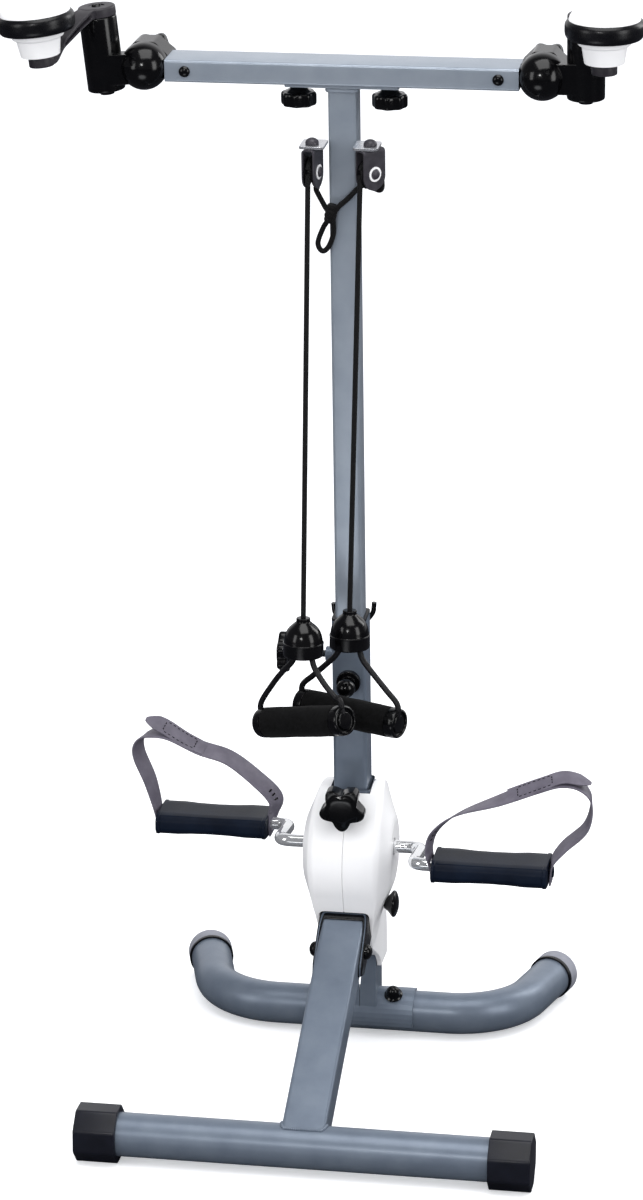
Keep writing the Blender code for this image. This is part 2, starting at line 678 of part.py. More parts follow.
BULGE_Y = -6.0
BULGE_Z = 268.0
LEG_EDGE = [(-58, 200), (-46, 176), (-20, 150), (18, 128), (48, 112), (61, 100), (61, 92),
            (112, 92), (110, 130), (100, 170), (86, 196)]
FLAT_R = 34.0
CRANK_HOLE_R = 10.5
SHELL_RINGS = (1.0, 0.9, 0.78, 0.62, 0)     # 0 is the ring round the flat


def shell_outline(inset):
    """The housing seen from the side, drawn in by inset."""
    rim = arc((HOUSE_Y, HOUSE_Z), HOUSE_R, -38, 205, 22)
    leg = []
    for i, (a, b) in enumerate(zip(LEG_EDGE, LEG_EDGE[1:])):
        leg += [Vector(a).lerp(Vector(b), t) for t in (0, )]
    points = [Vector(p) for p in rim] + leg + [Vector(LEG_EDGE[-1])]
    moved = []
    for i, p in enumerate(points):
        along = (points[(i + 1) % len(points)] - points[i - 1]).normalized()
        moved.append(p + Vector((-along.y, along.x)) * inset)
    return moved


def shell_width(radius, to_rim):
    """Half width of the housing at a distance from the bulge's middle and from the rim."""
    tiers = ((0, HOUSE_BULGE_HALF), (36, HOUSE_BULGE_HALF), (42, 54), (62, 44), (84, 36), (125, LEG_HALF), (400, LEG_HALF))
    for (r0, x0), (r1, x1) in zip(tiers, tiers[1:]):
        if r0 <= radius <= r1:
            wide = x0 + (x1 - x0) * (radius - r0) / (r1 - r0)
            break
    return min(wide, HOUSE_CORE_HALF + to_rim * 1.1)


def shell_skin(bm, side, inset):
    """One skin of a half housing, from its rim to the hole round the crank."""
    middle = Vector((BULGE_Y, BULGE_Z))
    rim = shell_outline(inset)
    rings = [[bm.verts.new((mm(side * GAP / 2), mm(p.x), mm(p.y))) for p in rim]]
    for share in SHELL_RINGS:
        ring = []
        for p in rim:
            q = middle.lerp(p, share or FLAT_R / (p - middle).length)
            x = shell_width((q - middle).length, (p - q).length) - inset
            ring.append(bm.verts.new((mm(side * x), mm(q.x), mm(q.y))))
        rings.append(ring)
    eye = []
    for p in rim:
        out = (p - middle).normalized() * CRANK_HOLE_R
        x = side * (HOUSE_BULGE_HALF - inset)
        eye.append(bm.verts.new((mm(x), mm(CRANK_Y + out.x), mm(CRANK_Z + out.y))))
    rings.append(eye)
    for one, two in zip(rings, rings[1:]):
        for i in range(len(one)):
            bm.faces.new((one[i - 1], one[i], two[i], two[i - 1]))
    return rings[0], eye


def housing():
    sleeve = SLEEVE_W + 1 + 2 * SOCKET_WALL + 1.2
    back = -2 * GAP - RECEIVER_WALL
    width = BEAM_W + 2 * (RECEIVER_WALL + 2 * GAP) + 1
    for side, name in ((-1, "left"), (1, "right")):
        bm = bmesh.new()
        for outer, inner in zip(shell_skin(bm, side, 0), shell_skin(bm, side, HOUSE_WALL)):
            for i in range(len(outer)):
                bm.faces.new((outer[i - 1], outer[i], inner[i], inner[i - 1]))
        shell = place(as_part(mesh_object("housing_" + name, bm, True), WHITE))
        cuts = [
            block("socket_window_" + name, (sleeve, sleeve, 90), None, (0, 0, 345), parent=MAST),
            rod("knob_window_" + name, 11, 60, None, (0, -50, FRONT_KNOB_Z), "Y", MAST),
            block("receiver_window_" + name, (width, BEAM_H + 9, 90), None, on_beam(45 + back, 1.5), BEAM_TURN),
            block("leg_window_" + name, (2 * CHEEK_OUT + 1.6, 120, 60), None, (0, 90, 85))]
        if side > 0:
            cuts.append(rod("cam_window", 5.5, 60, None, (50, CAM_Y, CAM_Z), "X", sides=20))
        for cut in cuts:
            boolean(shell, cut)


def drive():
    half = BELT_W / 2 + 0.5
    profile = [(WHEEL_DRIVE_R + 3, half + 1), (WHEEL_DRIVE_R + 3, half), (WHEEL_DRIVE_R, half),
               (WHEEL_DRIVE_R, -half), (WHEEL_DRIVE_R + 3, -half), (WHEEL_DRIVE_R + 3, -half - 1),
               (bore(CRANK_ROD_R, 26), -half - 1), (bore(CRANK_ROD_R, 26), half + 1)]
    turned("belt_wheel", profile, BLACK_MATTE, (BELT_X, CRANK_Y, CRANK_Z), "X", sides=26)
    right = BELT_X + half + 1
    left = BELT_X - half - 1
    r = PULLEY_DRIVE_R
    profile = [(0, right), (r + 2, right), (r + 2, right - 1), (r, right - 1), (r, left + 1), (r + 2, left + 1),
               (r + 2, left), (5, left), (5, FLY_HALF), (FLY_R, FLY_HALF), (FLY_R, -FLY_HALF), (5, -FLY_HALF),
               (5, -CHEEK_OUT - 3), (0, -CHEEK_OUT - 3)]
    turned("flywheel", profile, RAW_STEEL, (0, FLY_Y, FLY_Z), "X", sides=26)
    belt = [hull_loop(GAP + 2.2), hull_loop(GAP + 0.6)]
    outline("drive_belt", belt, BELT_W, RUBBER, (BELT_X, 0, 0), YZ_TURN)

    fly = Vector((FLY_Y, FLY_Z))
    hub = Vector((BRAKE_Y, BRAKE_Z))
    nose_dir = (Vector((CAM_Y, CAM_Z)) - fly)
    nose_deg = math.degrees(math.atan2(nose_dir.y, nose_dir.x)) % 360
    nose = fly + nose_dir.normalized() * (nose_dir.length - CAM_R - GAP)
    side = Vector((-nose_dir.y, nose_dir.x)).normalized() * 5
    pad = [tuple(fly + Vector((math.cos(math.radians(a)), math.sin(math.radians(a)))) * (FLY_R + 7))
           for a in (252, 240, 228)]
    pad += [tuple(nose + side), tuple(nose - side)]
    pad += [tuple(fly + Vector((math.cos(math.radians(a)), math.sin(math.radians(a)))) * (FLY_R + 7))
            for a in (204, 195)]
    pad += arc(fly, FLY_R + 3, 195, 252, 8)
    arm = outline("brake_arm", [pad], 10, RAW_STEEL, turn=YZ_TURN)
    start = fly + Vector((math.cos(math.radians(246)), math.sin(math.radians(246)))) * (FLY_R + 5)
    reach = hub - start
    link = outline("brake_link", [[tuple(start + Vector((-reach.y, reach.x)).normalized() * w + reach * t)
                                   for t, w in ((-0.05, 2), (1, 4), (1, -4), (-0.05, -2))]], 10, None, turn=YZ_TURN)
    eye = rod("brake_eye", 8, 10, None, (0, BRAKE_Y, BRAKE_Z), "X", sides=20)
    join_all(arm, link, eye)
    boolean(arm, hole("brake_bore", 4, 20, (0, BRAKE_Y, BRAKE_Z), "X"))

    cam = []
    contact = math.degrees(math.atan2(-nose_dir.y, -nose_dir.x))
    for i in range(25):
        back = i * 15
        rise = CAM_RISE * min(back / CAM_SWEEP_DEG, 1) if back <= 290 else CAM_RISE * (360 - back) / 70
        a = math.radians(contact - back)
        cam.append(((CAM_R + rise) * math.cos(a), (CAM_R + rise) * math.sin(a)))
    knob = [(0, 58), (7, 57.5), (12, 56), (13.5, 53.5), (13.5, 52), (8, 49), (6.5, 46.5), (4, 46.5),
            (4, -CHEEK_OUT - 3), (0, -CHEEK_OUT - 3)]
    turned("tension_knob", knob, BLACK_GLOSS, (0, CAM_Y, CAM_Z), "X")
    boolean(bpy.data.objects["tension_knob"],
            outline("cam", [cam[:-1]], 9, None, (0, CAM_Y, CAM_Z), YZ_TURN), "UNION")


def hull_loop(extra):
    """The belt's path round both wheels, outside their belt radius by extra."""
    big, small = Vector((CRANK_Y, CRANK_Z)), Vector((FLY_Y, FLY_Z))
    between = small - big
    base = math.degrees(math.atan2(between.y, between.x))
    spread = math.degrees(math.acos((WHEEL_DRIVE_R - PULLEY_DRIVE_R) / between.length))
    loop = arc(big, WHEEL_DRIVE_R + extra, base + spread, base + 360 - spread, 14)
    return loop + arc(small, PULLEY_DRIVE_R + extra, base - spread, base + spread, 6)


def sleeve_and_mast():
    mid = (SLEEVE_TOP + SLEEVE_BOTTOM) / 2
    sleeve = square_tube("mast_sleeve", SLEEVE_W, SLEEVE_W, SLEEVE_WALL, SLEEVE_TOP - SLEEVE_BOTTOM,
                         STEEL_GREY, (0, 0, mid), parent=MAST)
    boss = rod("side_boss", 9, 10.5, None, (-SLEEVE_W / 2 - 4.5, 0, SIDE_KNOB_Z), "X", MAST)
    hook = [(-24, 23, 565), (-23, 23, 552), (-15, 22.4, 545), (15, 22.4, 545), (23, 23, 555), (24, 23, 568)]
    hook_rod = pipe("hook_rod", rounded_corners(hook, 4, 3), 2.5, None, MAST, 2)
    collar = [(9, 8), (9, 6.5), (14, 6.5), (14, -1), (bore(PIN_R), -1), (bore(PIN_R), 8)]
    face = -SLEEVE_W / 2
    join_all(sleeve, boss, hook_rod, turned("pin_collar", collar, None, (0, face, PIN_Z), "-Y", MAST))
    boolean(sleeve, hole("side_hole", BOLT_R, 30, (-24, 0, SIDE_KNOB_Z), "X", MAST))
    pin_hole = hole("pin_hole", PIN_R, 20, (0, -20, PIN_Z), "Y", MAST)
    boolean(sleeve, pin_hole)

    wide = SLEEVE_W - 2 * SLEEVE_WALL - 2 * GAP
    room = MAST_W + 2 * GAP
    loops = [rounded_rectangle(wide, wide, 2.2), rounded_rectangle(room, room, 3.2)]
    bush = outline("sleeve_bush", loops, 88, BLACK_MATTE, (0, 0, SLEEVE_TOP - 43.4), parent=MAST)
    lip = outline("bush_lip", [rounded_rectangle(SLEEVE_W, SLEEVE_W, 4), rounded_rectangle(room, room, 3.2)],
                  2.5, None, (0, 0, SLEEVE_TOP + GAP + 1.25), parent=MAST)
    join_all(bush, lip)
    boolean(bush, pin_hole)
    boolean(bush, hole("bush_side_hole", BOLT_R + 1, 10, (-17, 0, SIDE_KNOB_Z), "X", MAST))

    top = BAR_TOP - BAR_H - GAP
    foot = top - FLANGE_T
    mast = square_tube("mast", MAST_W, MAST_W, MAST_WALL, foot - MAST_BOTTOM + 1, SILVER,
                       (0, 0, (foot + 1 + MAST_BOTTOM) / 2), parent=MAST, corner=3.5)
    flange = block("mast_flange", (2 * FLANGE_HALF, FLANGE_D, FLANGE_T), None, (0, 0, top - FLANGE_T / 2), parent=MAST)
    join_all(mast, flange)
    for side in (-1, 1):
        tab = block("tab_%d" % side, (TAB_OUT - MAST_W / 2 + 1, 34, TAB_T), None,
                    (side * (TAB_OUT + MAST_W / 2 - 1) / 2, -30, TAB_Z), parent=MAST)
        join_all(mast, tab)
        x = PULLEYS[(side + 1) // 2][0]
        boolean(mast, hole("tab_hole_%d" % side, BOLT_R - 1, 20, (x, PULLEY_Y, TAB_Z), "Z", MAST))
        boolean(mast, hole("flange_hole_%d" % side, BOLT_R, 20, (side * BAR_KNOB_X, 0, foot), "Z", MAST))
    for i in range(HOLE_COUNT):
        boolean(mast, hole("height_hole_%d" % i, PIN_R, 8,
                           (0, -MAST_W / 2, PIN_Z - i * HOLE_PITCH), "Y", MAST))

    ball = [(11 * math.sin(math.radians(a)), 22 + 11 * math.cos(math.radians(a))) for a in range(0, 150, 24)]
    turned("pull_pin", ball + [(PIN_R, 12.5), (PIN_R, -PIN_TIP), (0, -PIN_TIP)],
           BLACK_GLOSS, (0, face, PIN_Z), "-Y", MAST)


def lobed_knob(name, lobes, radius, thickness, stem, at, along, look=BLACK_GLOSS, neck=8.0, turn=None, parent=MAST):
    """A knob whose clamped face is its local -Z side: rim, neck and threaded stem."""
    rim = outline(name, [star(lobes, radius, radius * 0.8)], thickness, look, at, turn or ALONG[along], parent)
    rounding = rim.modifiers.new("edges", "BEVEL")
    rounding.width = mm(min(2.5, thickness * 0.16))
    rounding.segments = 1
    rounding.limit_method = "ANGLE"
    rounding.angle_limit = math.radians(50)
    half = thickness / 2
    profile = [(0, 1), (neck + 3, 1), (neck + 3, -half), (neck, -half - 6), (BOLT_R, -half - 6),
               (BOLT_R, -half - stem), (0, -half - stem)]
    return join_all(rim, turned(name + "_stem", profile, None, at, turn=turn or ALONG[along], parent=parent))


def knobs():
    lobed_knob("front_star_knob", 5, FRONT_KNOB_R, 20, 44.5, (0, FRONT_KNOB_Y, FRONT_KNOB_Z), "-Y")
    lobed_knob("side_star_knob", 6, SIDE_KNOB_R, 12, 51.5, (SIDE_KNOB_X, 0, SIDE_KNOB_Z), "-X")
    for side, name in ((-1, "left"), (1, "right")):
        x, y, z = side * BAR_KNOB_X, 0, BAR_TOP - BAR_H - GAP - FLANGE_T - 7 - BAR_KNOB_H / 2
        lobed_knob("bar_knob_" + name, 8, BAR_KNOB_R, BAR_KNOB_H, 20, (x, y, z), "-Z")


def cross_bar():
    bar = outline("cross_bar", [rounded_rectangle(BAR_D, BAR_H, 3),
                                rounded_rectangle(BAR_D - 2 * BAR_WALL, BAR_H - 2 * BAR_WALL, 1.6)],
                  2 * BAR_HALF, SILVER, (0, 0, BAR_TOP - BAR_H / 2), YZ_TURN, MAST)
    for side in (-1, 1):
        boolean(bar, hole("bar_bolt_hole_%d" % side, BOLT_R, 12, (side * BAR_KNOB_X, 0, BAR_TOP - BAR_H), "Z", MAST))
        boolean(bar, hole("bar_screw_hole_%d" % side, 3, 10,
                          (side * BAR_SCREW_X, -BAR_D / 2, BAR_TOP - BAR_H / 2), "Y", MAST))
    screw = [(0, 4), (4, 3.3), (6.3, 1), (6.3, 0), (3, 0), (3, -9), (0, -9)]
    for side, name in ((-1, "left"), (1, "right")):
        at = (side * BAR_SCREW_X, -BAR_D / 2 - GAP, BAR_TOP - BAR_H / 2)
        turned("bar_screw_" + name, screw, BLACK_GLOSS, at, "-Y", MAST, 12)


def arms():
    for side, name, tilt, heading in ((-1, "left", -LEFT_TILT_DEG, LEFT_HAND_DEG),
                                      (1, "right", 0.0, RIGHT_HAND_DEG)):
        pivot = (side * JOINT_X, 0, BAR_TOP - 10)
        fixed_joint(side, name, pivot)
        swing = add_empty("tilt_frame_" + name, Matrix.Translation(vec(pivot))
                          @ Matrix.Rotation(math.radians(tilt), 4, "Y"), MAST)
        moving_arm(side, name, swing, heading)


def fixed_joint(side, name, pivot):
    """A plug inside the bar's end and the drum behind the arm's ear."""
    bar_mid = BAR_TOP - BAR_H / 2
    deep = BAR_D - 2 * (BAR_WALL + GAP)
    tall = BAR_H - 2 * (BAR_WALL + GAP)
    body = block("arm_joint_" + name, (62, deep, tall), BLACK_GLOSS, (side * (BAR_HALF - 17), 0, bar_mid), parent=MAST, bevel=2, segments=1)
    drum = rod("joint_drum_" + name, JOINT_R - 1.5, 37, None, (pivot[0], 11.5, pivot[2]), "Y", MAST, 20)
    join_all(body, drum)
    boolean(body, block("ear_room_" + name, (80, 60, 90), None,
                        (side * (BAR_HALF + 40 - 0.4), -7 - 30, pivot[2]), parent=MAST))
    boolean(body, hole("joint_bore_" + name, BOLT_R, 90, (pivot[0], 11, pivot[2]), "Y", MAST))
    boolean(body, hole("screw_seat_" + name, 3, 12, (side * BAR_SCREW_X, -BAR_D / 2 + 6, bar_mid), "Y", MAST))


def moving_arm(side, name, swing, heading):
    x = side * (TUBE_X - JOINT_X)
    mid = (ARM_TUBE_TOP + ARM_TUBE_BOTTOM) / 2 - (BAR_TOP - 10)
    tall = ARM_TUBE_TOP - ARM_TUBE_BOTTOM
    ear_y = -7 - GAP
    cap = [(0, 33.5), (9, 32.5), (17, 29), (22.5, 22), (24.4, 14), (24.4, 0), (0, 0)]
    ear = turned("bearing_tube_" + name, cap, BLACK_GLOSS, (0, ear_y, 0), "-Y", swing, 20)
    neck = block("ear_neck_" + name, (abs(x) - 8, 20, 34), None, (x / 2 + side * 4, ear_y - 10, 0), parent=swing)
    tube = rod("ear_tube_" + name, ARM_TUBE_R, tall, None, (x, ARM_TUBE_Y, mid), parent=swing, sides=20)
    nub = rod("ear_nub_" + name, 8, 6, None, (x, ARM_TUBE_Y, mid - tall / 2 - 2), parent=swing)
    join_all(ear, neck, tube, nub)
    clear = hole("drum_room_" + name, JOINT_R - 1, 60, (0, ear_y + 30, 0), "Y", swing, 20)
    boolean(ear, clear)
    boolean(ear, hole("ear_bolt_hole_" + name, BOLT_R, 30, (0, ear_y, 0), "Y", swing))
    top = ARM_TUBE_TOP - (BAR_TOP - 10)
    boolean(ear, hole("arm_bore_" + name, 8, 100, (x, ARM_TUBE_Y, top + 4), parent=swing, sides=14))

    lobed_knob("tilt_knob_" + name, 6, TILT_KNOB_R, 12, 52, (0, TILT_KNOB_Y, 0), "Y", parent=swing)
    crank_frame = add_empty("hand_frame_" + name, Matrix.Translation(vec((x, ARM_TUBE_Y, top)))
                            @ Matrix.Rotation(math.radians(heading), 4, "Z"), swing)
    hand_crank(name, crank_frame)


def hand_crank(name, frame):
    """The crank points along +X of its frame; its hub sits on the bearing tube."""
    foot = GAP
    hub = [(0, 8.5), (9, 8.5), (9, 11), (19.5, 11), (21, 9.5), (21, foot), (8, foot), (8, -42), (0, -42)]
    arm = turned("hand_crank_" + name, hub, BLACK_MATTE, parent=frame)
    # the first stretch stays level over the tube, then the arm drops to the grip
    low, high = -HAND_DROP - 6, -HAND_DROP + 5
    side_loop = [(-4, foot + 0.4), (22.5, foot + 0.4), (40, -4), (HAND_R - 35, -15), (HAND_R - 27, -18),
                 (HAND_R - 19, low + 4), (HAND_R - 13, low), (HAND_R + 12, low), (HAND_R + 12, high),
                 (HAND_R - 24, high), (HAND_R - 28, high + 9), (46, 4), (24, 10.6), (-4, 10.6)]
    blade = outline("hand_blade_" + name, [side_loop], 24, None, (0, 0, 0), XZ_TURN, frame)
    end = rod("hand_end_" + name, 14, 11.5, None, (HAND_R, 0, -HAND_DROP - 0.5), parent=frame)
    pin = rod("hand_pin_" + name, 5, 52, None, (HAND_R, 0, -HAND_DROP + 26), parent=frame, sides=12)
    join_all(arm, blade, end, pin)
    for flank in (-1, 1):
        recess = outline("hand_recess_%s_%d" % (name, flank),
                         [[(26, 3), (40, -1), (HAND_R - 36, -11.5), (HAND_R - 36, -8.5), (46, 1), (28, 7)]],
                         6, None, (0, flank * 12, 0), XZ_TURN, frame)
        boolean(arm, recess)
    base = -HAND_DROP + 5.5 + GAP
    ring = base + GRIP_HUB_H
    grip = add_empty("grip_frame_" + name, Matrix.Translation(vec((HAND_R, 0, ring))), frame)
    half = GRIP_RING_T / 2
    white = [(0, GRIP_TOP), (15, 28.6), (27, 24), (35, 17.5), (39.5, 10), (40.5, half + GAP),
             (34, half + GAP), (34, -half - GAP), (39, -half - GAP), (31, -16), (25, -19), (23.5, -21),
             (21, -GRIP_HUB_H), (bore(5, 22), -GRIP_HUB_H), (bore(5, 22), 16), (0, 16)]
    turned("grip_" + name, white, WHITE, parent=grip, sides=22)
    rubber = [(39, half), (GRIP_R, half - 2.5), (GRIP_R, -half + 2.5), (39, -half), (bore(34, 22), -half),
              (bore(34, 22), half)]
    turned("grip_ring_" + name, rubber, RUBBER, parent=grip, sides=22)


def pulleys():
    for (x, deg), name in zip(PULLEYS, ("left", "right")):
        frame = add_empty("pulley_frame_" + name, Matrix.Translation(vec((x, PULLEY_Y, PULLEY_Z)))
                          @ Matrix.Rotation(math.radians(deg), 4, "Z"), MAST)
        roof = TAB_Z - TAB_T / 2 - GAP - PULLEY_Z
        yoke = block("pulley_yoke_" + name, (YOKE_GAP + 2 * YOKE_T, YOKE_W, roof + 16), BLACK_GLOSS,
                     (0, 0, (roof - 16) / 2), parent=frame)
        boolean(yoke, block("yoke_room_" + name, (YOKE_GAP, YOKE_W + 10, roof + 16), None,
                            (0, 0, (roof - 16) / 2 - YOKE_T), parent=frame))
        half = YOKE_GAP / 2 + YOKE_T
        axle = [(0, half + 4), (5, half + 3), (6, half - 1), (3, half - 1), (3, -half + 1), (6, -half + 1),
                (5, -half - 3), (0, -half - 4)]
        nut_foot = TAB_Z + TAB_T / 2 + GAP - PULLEY_Z
        nut = [(0, nut_foot + 7), (5, nut_foot + 5.5), (7.5, nut_foot + 2), (7.5, nut_foot), (3, nut_foot),
               (3, roof - 1), (0, roof - 1)]
        join_all(yoke, turned("yoke_axle_" + name, axle, None, along="X", parent=frame, sides=12),
                 turned("yoke_nut_" + name, nut, None, parent=frame, sides=12))
        groove = ROPE_PITCH_R - ROPE_R - GAP
        w = WHEEL_W / 2
        turned("pulley_wheel_" + name, [(WHEEL_R, w), (WHEEL_R, 3.8), (groove, 2.2), (groove, -2.2),
                                        (WHEEL_R, -3.8), (WHEEL_R, -w), (bore(3, 20), -w), (bore(3, 20), w)],
               BLACK_MATTE, along="X", parent=frame, sides=20)


def wheel_point(which, degrees, radius=ROPE_PITCH_R, lift=0.0):
    """A point round a pulley wheel in the base frame: 0 is the front tangent, 90 the top."""
    x, deg = PULLEYS[which]
    a, turn = math.radians(degrees), math.radians(deg)
    forward = radius * math.cos(a)
    return mast_to_base((x + forward * math.sin(turn), PULLEY_Y - forward * math.cos(turn),
                         PULLEY_Z + radius * math.sin(a) + lift))


def cords():
    """One rope: over both wheels, with its middle knotted into a loop."""
    left = [wheel_point(0, a) for a in range(20, 181, 20)]
    right = [wheel_point(1, a) for a in range(20, 181, 20)]
    front = -MAST_W / 2 - ROPE_R - 1.0
    knot = mast_to_base((-14, front - 3, 1046))
    down = [mast_to_base((-30, front + 1, 1075)), mast_to_base((-20, front, 1056)), knot,
            mast_to_base((-22, front, 1032)), mast_to_base((-28.5, front, 1014)), mast_to_base((-24, front, 1004.5)),
            mast_to_base((-17, front, 1009)), mast_to_base((-11, front, 1025)), mast_to_base((-9, front - 4, 1050)),
            mast_to_base((6, front - 1, 1066)), mast_to_base((24, front, 1082))]
    drop = 1.3 * WHEEL_R
    left.append(wheel_point(0, 180, lift=-drop))
    right.append(wheel_point(1, 180, lift=-drop))
    path = smooth_path(left + down + right[::-1], 1)
    pipe("cord_middle", path, ROPE_R, RUBBER, resolution=1)
    for which, name in enumerate(("left", "right")):
        x, y, z, turn = HANDLES[which]
        top = wheel_point(which, 0)
        pipe("cord_" + name, [top, (x, y, z + GAP)], ROPE_R, RUBBER, resolution=2)


def handles():
    for (x, y, z, turn_deg), roll_deg, name in zip(HANDLES, HANDLE_ROLLS, ("left", "right")):
        frame = add_empty("handle_frame_" + name, Matrix.Translation(vec((x, y, z)))
                          @ Matrix.Rotation(math.radians(turn_deg), 4, "Z"), BASE)
        bell = [(0, 0), (8, 0), (8, -5), (11, -7), (18, -13.5), (22, -22.5), (BELL_R, -31), (BELL_R, -BELL_H + 4),
                (22, -BELL_H + 0.5), (16, -BELL_H), (0, -BELL_H)]
        turned("handle_bell_" + name, bell, BLACK_GLOSS, parent=frame)
        reach = FOAM_LEN / 2 + 5
        grip = add_empty("grip_line_" + name, Matrix.Translation(vec((0, 0, -HANDLE_DROP)))
                         @ Matrix.Rotation(math.radians(-roll_deg), 4, "Y"), frame)
        lean = math.radians(roll_deg)
        arms = []
        for side in (-1, 1):
            end = (side * reach * math.cos(lean), side * reach * math.sin(lean) - HANDLE_DROP)
            arch = [(end[0], 0, end[1]), (end[0] - 24 * math.sin(lean), 0, end[1] + 24 * math.cos(lean)),
                    (side * 35, 0, -74), (side * 9, 0, -BELL_H + 0.5 - YOKE_CORD_R)]
            arms.append(smooth_path(arch, 3))
        path = arms[0] + arms[1][::-1]
        yoke = pipe("handle_yoke_" + name, path, YOKE_CORD_R, BLACK_MATTE, frame, 1)
        core = [(0, reach + 7), (10, reach + 7), (15, reach + 4), (17, reach), (17, reach - 4.5), (9, reach - 4.5)]
        profile = core + [(r, -h) for r, h in reversed(core)]
        join_all(yoke, turned("handle_core_" + name, profile, None, (0, 0, 0), "X", grip))
        half = FOAM_LEN / 2
        foam = [(FOAM_R - 1.5, half), (FOAM_R, half - 2), (FOAM_R, -half + 2), (FOAM_R - 1.5, -half),
                (bore(9), -half), (bore(9), half)]
        turned("foam_grip_" + name, foam, RUBBER, (0, 0, 0), "X", grip)


floor_tubes()
end_caps()
saddle_bolts()
beam_and_receiver()
spine()
crank_and_pedals()
straps()
housing()
drive()
sleeve_and_mast()
knobs()
cross_bar()
arms()
pulleys()
cords()
handles()
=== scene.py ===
# %% [markdown]
# # A pedal and arm exerciser, dressed for its photograph
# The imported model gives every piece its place. This script loads it, and then makes the surface that the
# eye sees: painted tube, moulded plastic, chrome, rope and foam. Lengths are in millimetres until a mesh is
# written, so a number here can be held against a ruler.

# %% Load the fixed frame
import math

import bmesh
import bpy
import numpy as np
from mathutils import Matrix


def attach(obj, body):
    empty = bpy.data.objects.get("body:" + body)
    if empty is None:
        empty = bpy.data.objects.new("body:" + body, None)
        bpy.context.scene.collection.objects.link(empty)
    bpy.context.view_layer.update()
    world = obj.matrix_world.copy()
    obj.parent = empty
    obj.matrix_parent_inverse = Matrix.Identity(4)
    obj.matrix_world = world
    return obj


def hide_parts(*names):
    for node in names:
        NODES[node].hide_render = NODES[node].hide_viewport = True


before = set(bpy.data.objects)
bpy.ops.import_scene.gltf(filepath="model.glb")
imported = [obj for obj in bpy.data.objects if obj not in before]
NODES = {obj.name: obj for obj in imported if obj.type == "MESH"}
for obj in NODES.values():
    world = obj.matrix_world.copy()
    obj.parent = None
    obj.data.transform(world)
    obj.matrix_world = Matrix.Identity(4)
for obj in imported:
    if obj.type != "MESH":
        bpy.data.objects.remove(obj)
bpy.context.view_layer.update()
SCENE = bpy.context.scene
SCENE.view_settings.view_transform = "Standard"

# %% [markdown]
# ## Frames of reference
# The machine has two main directions: the floor frame, and the mast, which leans five degrees towards the
# user. A piece is drawn in the frame where it is simplest, and a 4 by 4 matrix carries it to the world. The
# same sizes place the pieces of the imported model, so both agree.

# %% Frames


def shift(x, y, z):
    """A matrix that moves by x, y, z."""
    matrix = np.eye(4)
    matrix[:3, 3] = x, y, z
    return matrix


def spin(axis, degrees):
    """A matrix that turns about an axis by the right-hand rule."""
    a, b = [(1, 2), (2, 0), (0, 1)]["XYZ".index(axis)]
    c, s = math.cos(math.radians(degrees)), math.sin(math.radians(degrees))
    matrix = np.eye(4)
    matrix[a, a], matrix[a, b], matrix[b, a], matrix[b, b] = c, -s, s, c
    return matrix


AIM = {"X": spin("Y", 90), "-X": spin("Y", -90), "Y": spin("X", -90), "-Y": spin("X", 90),
       "Z": np.eye(4), "-Z": spin("X", 180)}
LEAN = 5.0
PIVOT_Z = 400.0
BASE = shift(13.1, 60.0, 0)
MAST = BASE @ shift(0, PIVOT_Z * math.tan(math.radians(LEAN)), 0) @ spin("X", LEAN)
SIDES = ((-1, "left"), (1, "right"))
GAP = 0.3


def carry(matrix, points):
    """Points, as rows of x, y, z, moved by a frame's matrix."""
    points = np.asarray(points, float)
    return points @ matrix[:3, :3].T + matrix[:3, 3]


# %% [markdown]
# ## The camera
# A camera was fitted to the edges of the tubes in the photograph: it stands 4.5 m away, a little to the
# right, and looks down by 16.5 degrees with a long lens. The photograph measures 643 by 1200 pixels, and
# Blender's sensor width belongs to the longer side.

# %% Camera
PHOTO_H = 1200
FOCAL_PX = 4071.54
CAMERA_AT = (733.04, -4424.07, 1918.01)
YAW, PITCH = math.radians(9.58), math.radians(16.51)
camera_data = bpy.data.cameras.new("camera")
camera_data.sensor_width = 36.0
camera_data.lens = FOCAL_PX * camera_data.sensor_width / PHOTO_H
camera_data.clip_end = 50
camera = bpy.data.objects.new("camera", camera_data)
camera.location = np.array(CAMERA_AT) / 1000
camera.rotation_euler = (math.pi / 2 - PITCH, 0, YAW)
SCENE.collection.objects.link(camera)
SCENE.camera = camera
print("lens:", round(camera_data.lens, 1), "mm")

# %% [markdown]
# ## Grids, profiles and paths
# Nearly every piece here is a grid of points: one direction runs along the piece and the other round it.
# Numpy works the whole grid out at once. Rows are joined to rows by quads, and equal points, such as those
# at the tip of a turned knob, are merged, which closes seams and poles.

# %% Mesh helpers


def grid(points, wrap=True):
    """Quads over points[row, column], whose UV map holds millimetres.

    wrap joins the last column to the first.
    """
    rows, cols = points.shape[:2]
    r, c = np.meshgrid(np.arange(rows - 1), np.arange(cols if wrap else cols - 1), indexing="ij")
    r, c = r.ravel(), c.ravel()
    n = (c + 1) % cols
    faces = np.stack([r * cols + c, r * cols + n, (r + 1) * cols + n, (r + 1) * cols + c], 1)
    along = np.linalg.norm(np.diff(points, axis=0), axis=2).mean(1)
    along = np.concatenate([[0], np.cumsum(along)])
    ring = np.concatenate([points, points[:, :1]], 1)
    across = np.linalg.norm(np.diff(ring, axis=1), axis=2).mean(0)
    across = np.concatenate([[0], np.cumsum(across)])
    quad = ((r, c), (r, c + 1), (r + 1, c + 1), (r + 1, c))
    uv = np.stack([np.stack([along[a], across[b]], 1) for a, b in quad], 1)
    return points.reshape(-1, 3), faces, uv


